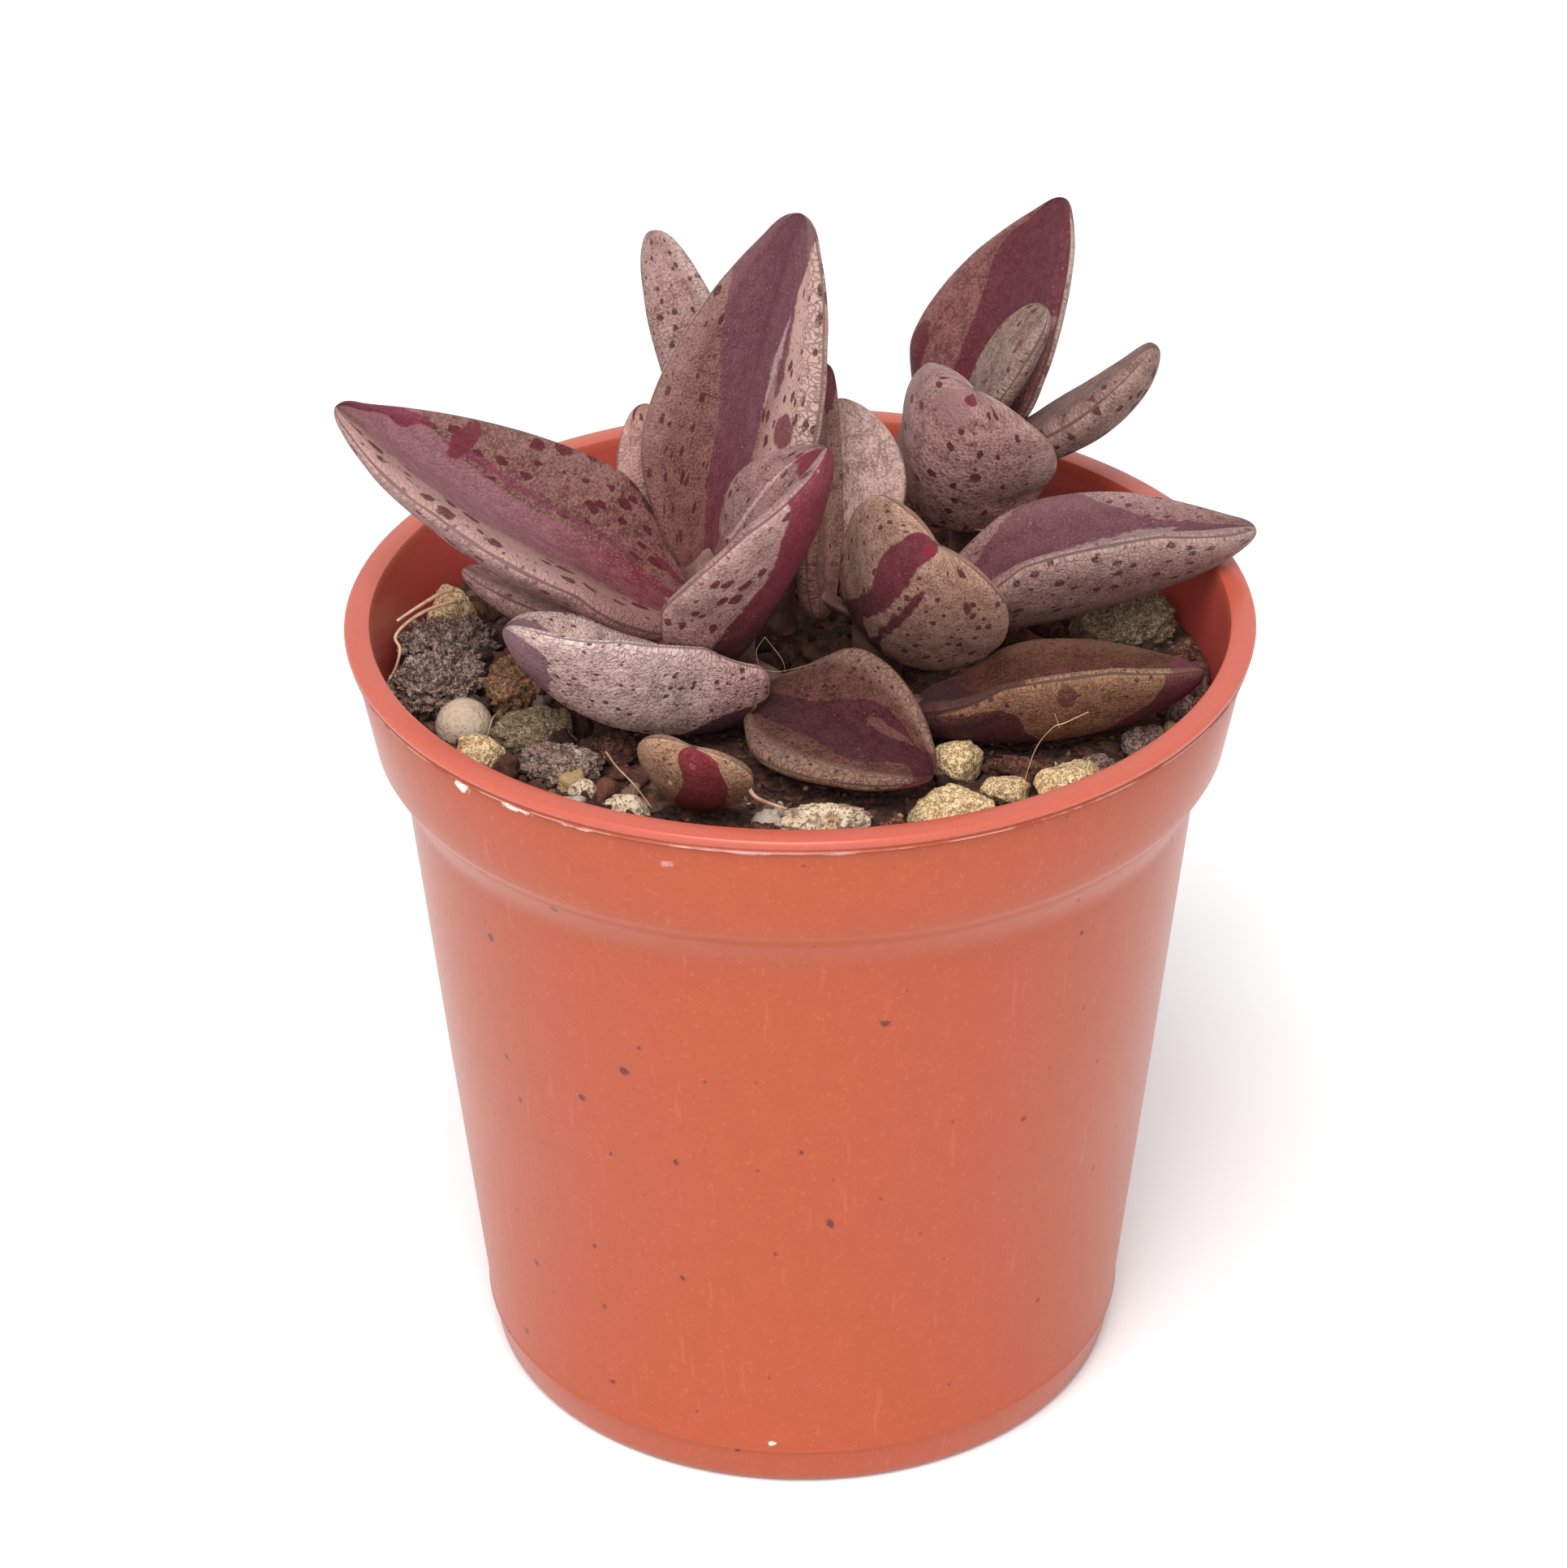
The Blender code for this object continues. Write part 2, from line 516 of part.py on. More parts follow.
def soil_points(edge_radius):
    """Points of the soil's surface: a triangular grid, and closer ones under each stone."""
    spots = []
    for stone in STONES.values():
        x, y = stone["at"]
        angle = radians(stone["turn"])
        half_long, half_wide, _ = stone["half"]
        spots.append((x, y))
        for reach, count in ((0.48, 5), (0.88, 8)):
            for number in range(count):
                turn = 2 * pi * number / count
                along = reach * half_long * cos(turn)
                aside = reach * half_wide * sin(turn)
                spots.append((x + along * cos(angle) - aside * sin(angle), y + along * sin(angle) + aside * cos(angle)))
    taken = list(spots)
    rows = int(edge_radius / (SOIL_SPACING * sqrt(0.75))) + 1
    for row in range(-rows, rows + 1):
        for column in range(-rows - 1, rows + 2):
            x = (column + 0.5 * (row % 2)) * SOIL_SPACING
            y = row * SOIL_SPACING * sqrt(0.75)
            if hypot(x, y) > edge_radius - 0.6 * SOIL_SPACING:
                continue
            if all(hypot(x - a, y - b) > 0.55 * SOIL_SPACING for a, b in taken):
                spots.append((x, y))
    return [spot for spot in spots if hypot(*spot) < edge_radius - 0.3]


def make_soil(low_points):
    """The soil fills the pot to a lumpy surface, with a bed under each stone and a plain hole for each stem."""
    edge_radius = inner_radius(SOIL_LEVEL) - TOUCH_GAP
    edge = [(x, y) for x, y, _ in circle(edge_radius, 0.0, POT_SIDES)]
    flat = [Vector(spot) for spot in edge + soil_points(edge_radius)]
    outline = [(side, (side + 1) % POT_SIDES) for side in range(POT_SIDES)]
    corners, _, triangles, _, _, _ = delaunay_2d_cdt(flat, outline, [], 0, 1e-4)
    vertices = []
    for corner in corners:
        if corner.length > edge_radius - 0.01:
            vertices.append((corner.x, corner.y, SOIL_LEVEL))
        else:
            vertices.append((corner.x, corner.y, soil_height(corner.x, corner.y, low_points)))
    faces = [tuple(triangle) for triangle in triangles]
    rim = list(range(POT_SIDES))
    for height in (POT_INSIDE[2][1], POT_INSIDE[3][1], SOIL_BOTTOM):
        start = len(vertices)
        vertices += circle(inner_radius(height) - TOUCH_GAP, height, POT_SIDES)
        below = list(range(start, start + POT_SIDES))
        for side in range(POT_SIDES):
            beside = (side + 1) % POT_SIDES
            faces.append((rim[side], rim[beside], below[beside], below[side]))
        rim = below
    faces.append(tuple(rim))
    soil = add_solid("soil", vertices, faces, "soil", sharp_angle=50.0)
    for name, shoot in SHOOTS.items():
        stem = shoot["stem"]
        radius = stem["radius"] + TOUCH_GAP
        cutter = upright_cylinder(
            name + "_hole", stem["x"], stem["y"], STEM_BURIED_TO - TOUCH_GAP, POT_HEIGHT, radius, STEM_HOLE_SIDES, "soil"
        )
        subtract(soil, cutter)
    return soil


def main():
    clear_scene()
    make_pot()
    low_points = []
    for name, shoot in SHOOTS.items():
        body = make_shoot(name, shoot)
        for vertex in body.data.vertices:
            point = vertex.co / MM
            away = hypot(point.x - shoot["stem"]["x"], point.y - shoot["stem"]["y"])
            if SOIL_LEVEL - 1 < point.z < SOIL_LEVEL + 2 and away > shoot["stem"]["radius"] + 0.4:
                low_points.append(point)
    for seed, (name, stone) in enumerate(STONES.items(), start=1):
        make_stone(name, stone, seed)
    make_soil(low_points)


main()
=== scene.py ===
# %% [markdown]
# # A potted lenophyllum
# The real object is a small succulent in a 5.5 cm nursery pot: thick boat-shaped leaves, pale pinkish grey
# with wine-red bands and spots, over gritty soil. The solid model gives every place and size, in metres.
# This script lays finer surfaces over it: each leaf, stone and the pot gets its own mesh and its own
# node-based finish, so that nothing depends on a picture.

import random
from math import atan2, copysign, cos, hypot, pi, radians, sin, sqrt

import bmesh
import bpy
import numpy as np
from mathutils import Euler, Matrix, Vector, noise


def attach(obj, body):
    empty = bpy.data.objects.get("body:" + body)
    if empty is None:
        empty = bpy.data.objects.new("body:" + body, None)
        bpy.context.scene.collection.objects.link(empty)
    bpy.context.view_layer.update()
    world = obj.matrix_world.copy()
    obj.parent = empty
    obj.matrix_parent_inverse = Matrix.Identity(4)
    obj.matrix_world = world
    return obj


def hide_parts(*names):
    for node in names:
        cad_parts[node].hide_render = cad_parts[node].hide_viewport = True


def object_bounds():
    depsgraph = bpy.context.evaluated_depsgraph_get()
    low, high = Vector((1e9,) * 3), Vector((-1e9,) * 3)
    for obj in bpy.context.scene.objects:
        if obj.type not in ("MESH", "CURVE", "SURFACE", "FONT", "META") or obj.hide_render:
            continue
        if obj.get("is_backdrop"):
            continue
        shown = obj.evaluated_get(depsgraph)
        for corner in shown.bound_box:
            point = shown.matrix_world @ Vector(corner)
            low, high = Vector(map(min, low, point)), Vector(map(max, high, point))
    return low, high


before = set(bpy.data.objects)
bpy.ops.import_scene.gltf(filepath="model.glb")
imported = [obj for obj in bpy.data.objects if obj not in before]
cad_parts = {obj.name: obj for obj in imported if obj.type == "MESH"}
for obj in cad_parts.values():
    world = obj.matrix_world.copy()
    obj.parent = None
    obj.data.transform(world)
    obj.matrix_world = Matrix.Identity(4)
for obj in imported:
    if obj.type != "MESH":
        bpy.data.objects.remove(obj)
solid_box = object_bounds()
MM = 0.001
print("solids:", solid_box)

# %% [markdown]
# ## Camera
# The photograph was taken with a long lens from about thirty degrees above the table, so the rim is a wide
# ellipse and hardly tapers. A camera could be placed by eye, but the rim, the collar and the base fix it
# exactly, so its rise, its tiny roll and its distance are stated here and turned into a matrix.

# %% Camera
CAMERA_RISE = radians(30.5)
CAMERA_ROLL = radians(-0.33)
CAMERA_DISTANCE = 295.8 * MM
AIM_HEIGHT = 38.6 * MM
CAMERA_ASIDE = -1.05 * MM


def add_camera():
    lens = bpy.data.cameras.new("camera")
    lens.lens = 110
    lens.sensor_width = 36
    lens.sensor_fit = "AUTO"
    lens.clip_start = 0.01
    lens.clip_end = 10
    camera = bpy.data.objects.new("camera", lens)
    bpy.context.scene.collection.objects.link(camera)
    ahead = Vector((0, cos(CAMERA_RISE), -sin(CAMERA_RISE)))
    level = Vector((1, 0, 0))
    upright = level.cross(ahead)
    right = cos(CAMERA_ROLL) * level + sin(CAMERA_ROLL) * upright
    up = -sin(CAMERA_ROLL) * level + cos(CAMERA_ROLL) * upright
    place = Vector((CAMERA_ASIDE, 0, AIM_HEIGHT)) - CAMERA_DISTANCE * ahead
    turn = Matrix((right, up, -ahead)).transposed().to_4x4()
    camera.matrix_world = Matrix.Translation(place) @ turn
    bpy.context.scene.camera = camera
    return camera


camera = add_camera()
print("camera at", [round(v, 4) for v in camera.location])

# %% [markdown]
# ## Light, surroundings and floor
# The pot was photographed on white, with broad soft light from above the photographer: the near faces of
# leaves and stones are bright, while the spaces between them fall into shade. A white world alone would
# leave no shade, so the world lights the plant dimly, looks white to the eye and in reflections, and one
# large lamp above the front does most of the work, with a faint one beside it.

# %% Light and floor
WORLD_LIGHTS = 0.64
WORLD_LOOKS = 1.0


def colour(red, green, blue):
    """A screen colour of 0 to 255 as the linear colour that a shader works with."""
    shares = [v / 255 for v in (red, green, blue)]
    return tuple(v / 12.92 if v < 0.04045 else ((v + 0.055) / 1.055) ** 2.4 for v in shares) + (1.0,)


def light_world():
    world = bpy.data.worlds.new("white tent")
    bpy.context.scene.world = world
    world.use_nodes = True
    tree = world.node_tree
    tree.nodes.clear()
    dim = tree.nodes.new("ShaderNodeBackground")
    dim.inputs["Strength"].default_value = WORLD_LIGHTS
    white = tree.nodes.new("ShaderNodeBackground")
    white.inputs["Strength"].default_value = WORLD_LOOKS
    for background in (dim, white):
        background.inputs["Color"].default_value = (1.0, 0.99, 0.985, 1.0)
    ray = tree.nodes.new("ShaderNodeLightPath").outputs
    seen = tree.nodes.new("ShaderNodeMath")
    seen.operation = "MAXIMUM"
    tree.links.new(ray["Is Camera Ray"], seen.inputs[0])
    tree.links.new(ray["Is Glossy Ray"], seen.inputs[1])
    mixed = tree.nodes.new("ShaderNodeMixShader")
    tree.links.new(seen.outputs[0], mixed.inputs[0])
    tree.links.new(dim.outputs[0], mixed.inputs[1])
    tree.links.new(white.outputs[0], mixed.inputs[2])
    tree.links.new(mixed.outputs[0], tree.nodes.new("ShaderNodeOutputWorld").inputs["Surface"])


def add_lamp(name, place, aim, size, power):
    lamp = bpy.data.lights.new(name, "AREA")
    lamp.shape = "DISK"
    lamp.size = size
    lamp.energy = power
    holder = bpy.data.objects.new(name, lamp)
    bpy.context.scene.collection.objects.link(holder)
    holder.location = place
    holder.rotation_euler = (Vector(aim) - Vector(place)).to_track_quat("-Z", "Y").to_euler()


def add_floor():
    half = 1.5
    mesh = bpy.data.meshes.new("floor")
    mesh.from_pydata([(-half, -half, 0), (half, -half, 0), (half, half, 0), (-half, half, 0)], [], [(0, 1, 2, 3)])
    floor = bpy.data.objects.new("floor", mesh)
    bpy.context.scene.collection.objects.link(floor)
    floor.location.z = -0.0002
    paper = bpy.data.materials.new("white paper")
    paper.use_nodes = True
    surface = paper.node_tree.nodes["Principled BSDF"]
    surface.inputs["Base Color"].default_value = (0.95, 0.95, 0.955, 1)
    surface.inputs["Roughness"].default_value = 0.8
    mesh.materials.append(paper)
    floor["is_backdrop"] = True


light_world()
add_lamp("key lamp", (-0.16, -0.66, 1.2), (0, 0, 0.04), 0.8, 15.0)
add_lamp("front lamp", (-0.1, -1.2, 0.62), (0, 0, 0.03), 0.7, 5.0)
add_floor()
bpy.context.scene.view_settings.view_transform = "Standard"
print("the world lights with", WORLD_LIGHTS, "and looks like", WORLD_LOOKS)

# %% [markdown]
# ## Small helpers for shader nodes
# Finishes are built as node trees. Clicking them together by hand would teach the same, but a script needs
# a short way to add a node, join its inputs and go on, so three helpers do only that.

# %% Node helpers


def put(tree, kind, inputs=None, **settings):
    """Adds a node. An input may be a value or another node's output."""
    made = tree.nodes.new(kind)
    for name, value in settings.items():
        setattr(made, name, value)
    for name, value in (inputs or {}).items():
        if isinstance(value, bpy.types.NodeSocket):
            tree.links.new(value, made.inputs[name])
        else:
            made.inputs[name].default_value = value
    return made


def calc(tree, operation, first, second=0.0):
    return put(tree, "ShaderNodeMath", {0: first, 1: second}, operation=operation).outputs[0]


def ease(tree, value, low, high, start=0.0, end=1.0):
    """A soft step: start below low, end above high."""
    fade = {"Value": value, "From Min": low, "From Max": high, "To Min": start, "To Max": end}
    return put(tree, "ShaderNodeMapRange", fade, interpolation_type="SMOOTHSTEP").outputs["Result"]


def tint(tree, share, under, over, way="MIX"):
    """Lays one colour over another by a share."""
    return put(tree, "ShaderNodeMix", {0: share, 6: under, 7: over}, data_type="RGBA", blend_type=way).outputs[2]


def new_group(name, inputs, outputs):
    """An empty node group. The kind of each socket is Float, Vector or Color."""
    tree = bpy.data.node_groups.new(name, "ShaderNodeTree")
    for socket, kind in inputs:
        tree.interface.new_socket(socket, in_out="INPUT", socket_type="NodeSocket" + kind)
    for socket, kind in outputs:
        tree.interface.new_socket(socket, in_out="OUTPUT", socket_type="NodeSocket" + kind)
    return tree, tree.nodes.new("NodeGroupInput").outputs, tree.nodes.new("NodeGroupOutput")


def use_group(tree, group, inputs):
    made = tree.nodes.new("ShaderNodeGroup")
    made.node_tree = group
    for name, value in inputs.items():
        if isinstance(value, bpy.types.NodeSocket):
            tree.links.new(value, made.inputs[name])
        else:
            made.inputs[name].default_value = value
    return made.outputs


def new_material(name, roughness):
    material = bpy.data.materials.new(name)
    material.use_nodes = True
    surface = material.node_tree.nodes["Principled BSDF"]
    surface.inputs["Roughness"].default_value = roughness
    return material, material.node_tree, surface


print("helpers ready")

# %% [markdown]
# ## Effects that several finishes share
# Spots, blotches, crackled skin and fine grain come back on every leaf, and pits and grains on every stone.
# Each one is a node group with named inputs, made once, so a leaf only states how many spots it has and how
# large they are. The groups give out masks and heights, and the leaf's own material turns them into colour.

# %% Shared node groups


def make_spots():
    """Scattered spots of uneven size. Place is millimetres on the skin, with z as a draw for each face."""
    tree, given, result = new_group(
        "skin spots",
        [("Place", "Vector"), ("Cell", "Float"), ("Stretch", "Float"), ("Share", "Float"), ("Size", "Float")],
        [("Mask", "Float")],
    )
    parts = put(tree, "ShaderNodeSeparateXYZ", {0: given["Place"]}).outputs
    along = calc(tree, "DIVIDE", calc(tree, "DIVIDE", parts[0], given["Stretch"]), given["Cell"])
    across = calc(tree, "DIVIDE", parts[1], given["Cell"])
    along = calc(tree, "ADD", along, calc(tree, "MULTIPLY", parts[2], 1.37))
    across = calc(tree, "ADD", across, calc(tree, "MULTIPLY", parts[2], 0.71))
    place = put(tree, "ShaderNodeCombineXYZ", {0: along, 1: across}).outputs[0]
    cells = put(tree, "ShaderNodeTexVoronoi", {"Vector": place, "Scale": 1.0}, voronoi_dimensions="2D")
    ragged = put(tree, "ShaderNodeTexNoise", {"Vector": place, "Scale": 3.4, "Detail": 3.0}).outputs[0]
    distance = calc(tree, "ADD", cells.outputs["Distance"], calc(tree, "MULTIPLY", calc(tree, "SUBTRACT", ragged, 0.5), 0.42))
    chance = put(tree, "ShaderNodeSeparateColor", {0: cells.outputs["Color"]}).outputs[0]
    left_out = calc(tree, "SUBTRACT", 1.0, given["Share"])
    reach = calc(tree, "DIVIDE", calc(tree, "SUBTRACT", chance, left_out), given["Share"])
    reach = calc(tree, "MULTIPLY", calc(tree, "POWER", calc(tree, "MAXIMUM", reach, 0.0), 0.7), given["Size"])
    inside = calc(tree, "SUBTRACT", reach, distance)
    tree.links.new(ease(tree, inside, -0.02, 0.06), result.inputs[0])
    return tree


def make_blotch():
    """One soft-edged patch at a place on the leaf, stated along and across it."""
    names = ["Along", "Across", "Along Centre", "Across Centre", "Along Reach", "Across Reach", "Wobble"]
    tree, given, result = new_group("skin blotch", [(name, "Float") for name in names], [("Mask", "Float")])
    reach = []
    for way in ("Along", "Across"):
        off = calc(tree, "SUBTRACT", given[way], given[way + " Centre"])
        reach.append(calc(tree, "POWER", calc(tree, "ABSOLUTE", calc(tree, "DIVIDE", off, given[way + " Reach"])), 2.0))
    far = calc(tree, "SQRT", calc(tree, "ADD", reach[0], reach[1]))
    far = calc(tree, "ADD", far, given["Wobble"])
    tree.links.new(ease(tree, far, 0.85, 1.1, 1.0, 0.0), result.inputs[0])
    return tree


def make_band():
    """A band between two edges that run along the leaf."""
    names = ["Across", "Low Edge", "High Edge", "Softness"]
    tree, given, result = new_group("skin band", [(name, "Float") for name in names], [("Mask", "Float")])
    above = calc(tree, "DIVIDE", calc(tree, "SUBTRACT", given["Across"], given["Low Edge"]), given["Softness"])
    below = calc(tree, "DIVIDE", calc(tree, "SUBTRACT", given["High Edge"], given["Across"]), given["Softness"])
    both = calc(tree, "MULTIPLY", ease(tree, above, -1.0, 1.0), ease(tree, below, -1.0, 1.0))
    tree.links.new(both, result.inputs[0])
    return tree


def make_crackle():
    """A net of fine dry cracks, with its height."""
    tree, given, result = new_group(
        "dry crackle", [("Place", "Vector"), ("Cell", "Float")], [("Lines", "Float"), ("Height", "Float")]
    )
    scale = calc(tree, "DIVIDE", 1.0, given["Cell"])
    bend = put(tree, "ShaderNodeTexNoise", {"Vector": given["Place"], "Scale": 1.6, "Detail": 2.0}).outputs["Color"]
    place = put(tree, "ShaderNodeVectorMath", {0: given["Place"], 1: bend}, operation="ADD").outputs[0]
    cells = put(
        tree, "ShaderNodeTexVoronoi", {"Vector": place, "Scale": scale}, voronoi_dimensions="3D", feature="DISTANCE_TO_EDGE"
    ).outputs["Distance"]
    tree.links.new(ease(tree, cells, 0.01, 0.11, 1.0, 0.0), result.inputs[0])
    tree.links.new(ease(tree, cells, 0.0, 0.3), result.inputs[1])
    return tree


def make_grain():
    """Fine mottling and the height of skin or stone, at a grain size in millimetres."""
    tree, given, result = new_group(
        "fine grain", [("Place", "Vector"), ("Grain", "Float")], [("Mottle", "Float"), ("Speckle", "Float"), ("Height", "Float")]
    )
    scale = calc(tree, "DIVIDE", 1.0, given["Grain"])
    wide = put(tree, "ShaderNodeTexNoise", {"Vector": given["Place"], "Scale": calc(tree, "MULTIPLY", scale, 0.25), "Detail": 3.0})
    fine = put(tree, "ShaderNodeTexNoise", {"Vector": given["Place"], "Scale": scale, "Detail": 4.0, "Roughness": 0.65})
    tree.links.new(wide.outputs[0], result.inputs[0])
    tree.links.new(ease(tree, fine.outputs[0], 0.56, 0.68), result.inputs[1])
    tree.links.new(fine.outputs[0], result.inputs[2])
    return tree


def make_pits():
    """Round pores of two sizes, as in pumice and lava."""
    tree, given, result = new_group(
        "stone pits", [("Place", "Vector"), ("Pore", "Float")], [("Pits", "Float"), ("Height", "Float")]
    )
    scale = calc(tree, "DIVIDE", 1.0, given["Pore"])
    bend = put(tree, "ShaderNodeTexNoise", {"Vector": given["Place"], "Scale": scale, "Detail": 3.0}).outputs["Color"]
    place = put(tree, "ShaderNodeVectorMath", {0: given["Place"], 1: bend}, operation="ADD").outputs[0]
    depth = None
    for times in (1.0, 2.6):
        cells = put(
            tree, "ShaderNodeTexVoronoi", {"Vector": place, "Scale": calc(tree, "MULTIPLY", scale, times)}, feature="SMOOTH_F1"
        ).outputs["Distance"]
        pit = ease(tree, cells, 0.12, 0.42)
        depth = pit if depth is None else calc(tree, "MULTIPLY", depth, pit)
    tree.links.new(calc(tree, "SUBTRACT", 1.0, depth), result.inputs[0])
    tree.links.new(depth, result.inputs[1])
    return tree


SPOTS = make_spots()
BLOTCH = make_blotch()
BAND = make_band()
CRACKLE = make_crackle()
GRAIN = make_grain()
PITS = make_pits()
print("groups:", [group.name for group in bpy.data.node_groups])

# %% [markdown]
# ## Laying a mesh in the frame
# Every surface below comes as points in millimetres and a list of faces. One helper makes the object, hides
# the solid that it stands for, hangs it on the body it rides on, and shades it smooth.

# %% Piece helper
TRIANGLES = {}


def lay_piece(name, points, faces, material, stands_for=(), sharp=None):
    mesh = bpy.data.meshes.new(name)
    mesh.from_pydata([tuple(v * MM for v in point) for point in points], [], faces)
    mesh.validate()
    tidy = bmesh.new()
    tidy.from_mesh(mesh)
    bmesh.ops.recalc_face_normals(tidy, faces=tidy.faces)
    tidy.to_mesh(mesh)
    tidy.free()
    mesh.materials.append(material)
    piece = bpy.data.objects.new(name, mesh)
    bpy.context.scene.collection.objects.link(piece)
    mesh.shade_smooth()
    if sharp:
        mesh.set_sharp_from_angle(angle=radians(sharp))
    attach(piece, "root")
    if stands_for:
        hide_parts(*stands_for)
    TRIANGLES[name] = sum(len(face.vertices) - 2 for face in mesh.polygons)
    return piece


def ring_faces(rings, sides):
    faces = []
    for ring in range(rings - 1):
        for side in range(sides):
            beside = (side + 1) % sides
            low = ring * sides
            faces.append((low + side, low + beside, low + sides + beside, low + sides + side))
    return faces


def store(piece, name, values):
    """Keeps a vector for each point, which the finish reads by name."""
    kept = piece.data.attributes.new(name, "FLOAT_VECTOR", "POINT")
    kept.data.foreach_set("vector", np.asarray(values, dtype=np.float32).ravel())


# %% [markdown]
# ## The pot
# A nursery pot is moulded in one shot of thin plastic: a tapered cup with a step and a wider collar, and a
# rim with a fine groove and a thread of flash just under its edge. A turned profile gives all of that, so
# the outline is stated once, as radius and height, and spun. The drain holes are cut with a Boolean.

# %% Pot shape
POT_SIDES = 168
POT_OUTLINE = [
    (19.6, 0.0), (19.85, 0.1), (20.0, 0.4), (20.25, 2.45), (20.5, 2.65), (20.42, 2.9), (22.3, 21.0), (24.18, 39.7),
    (24.2, 40.1), (24.25, 40.7), (24.45, 41.25), (24.8, 42.1), (25.3, 42.85), (25.75, 43.4), (25.95, 43.8),
    (26.1, 44.6), (27.04, 49.75), (26.98, 49.95), (27.12, 50.05), (27.34, 50.12), (27.22, 50.25), (27.34, 50.4),
    (27.48, 50.62), (27.5, 50.8), (27.42, 50.95), (27.3, 51.0), (26.2, 51.0), (26.0, 50.95), (25.88, 50.75),
    (25.1, 44.4), (24.95, 43.4), (23.4, 40.0), (23.3, 39.6), (19.45, 1.7), (19.2, 1.5),
]
DRAIN_HOLES = 4
DRAIN_HOLE_RADIUS = 2.5
DRAIN_CIRCLE_RADIUS = 11.5


def pot_points():
    points = []
    for radius, height in POT_OUTLINE:
        for side in range(POT_SIDES):
            angle = 2 * pi * side / POT_SIDES
            points.append((radius * cos(angle), radius * sin(angle), height))
    return points


def cut_drain_holes(pot):
    cutters = bmesh.new()
    for hole in range(DRAIN_HOLES):
        angle = 2 * pi * (hole + 0.5) / DRAIN_HOLES
        place = Matrix.Translation(Vector((cos(angle), sin(angle), 0)) * DRAIN_CIRCLE_RADIUS * MM)
        bmesh.ops.create_cone(
            cutters, cap_ends=True, segments=48, radius1=DRAIN_HOLE_RADIUS * MM, radius2=DRAIN_HOLE_RADIUS * MM,
            depth=8 * MM, matrix=place,
        )
    mesh = bpy.data.meshes.new("drain cutters")
    cutters.to_mesh(mesh)
    cutters.free()
    cutter = bpy.data.objects.new("drain cutters", mesh)
    bpy.context.scene.collection.objects.link(cutter)
    cut = pot.modifiers.new("drain holes", "BOOLEAN")
    cut.object = cutter
    cut.operation = "DIFFERENCE"
    cut.solver = "EXACT"
    seen = pot.evaluated_get(bpy.context.evaluated_depsgraph_get())
    holed = bpy.data.meshes.new_from_object(seen)
    pot.modifiers.clear()
    pot.data = holed
    bpy.data.objects.remove(cutter, do_unlink=True)
    holed.set_sharp_from_angle(angle=radians(40))


print("pot outline:", len(POT_OUTLINE), "corners")

# %% [markdown]
# The plastic is a terracotta orange, a little lighter along the rim; inside it is painted a lighter, pinker tone,
# painted light on the inner wall. It has fine specks in the colour, a few dark dots, rubbed pale marks on the
# collar and white scuffs at the front left of the rim; the dark line in the groove under the rim is painted shade.
# A painted map could hold them, but marks with a place and a size in the node tree stay sharp
# at any distance. Each scuff is a small region round a point, broken up by noise.

# %% Pot finish
# the middle of each, its reach round the rim and its height in mm, and how white it is
SCUFFS = [
    ((-19.6, -18.8, 49.6), 1.1, 0.55, 1.0), ((-16.4, -21.7, 49.9), 1.6, 0.36, 0.95), ((-12.6, -24.0, 49.9), 1.8, 0.16, 0.6),
    ((-3.0, -27.0, 49.9), 2.0, 0.09, 0.3), ((2.2, -27.2, 49.9), 1.6, 0.09, 0.3), ((17.5, -20.8, 50.0), 1.6, 0.09, 0.3),
    ((21.0, -17.2, 50.0), 1.4, 0.09, 0.25), ((-7.6, -25.4, 48.6), 0.7, 0.4, 0.2), ((-1.9, -20.2, 3.3), 0.5, 0.3, 0.8),
]


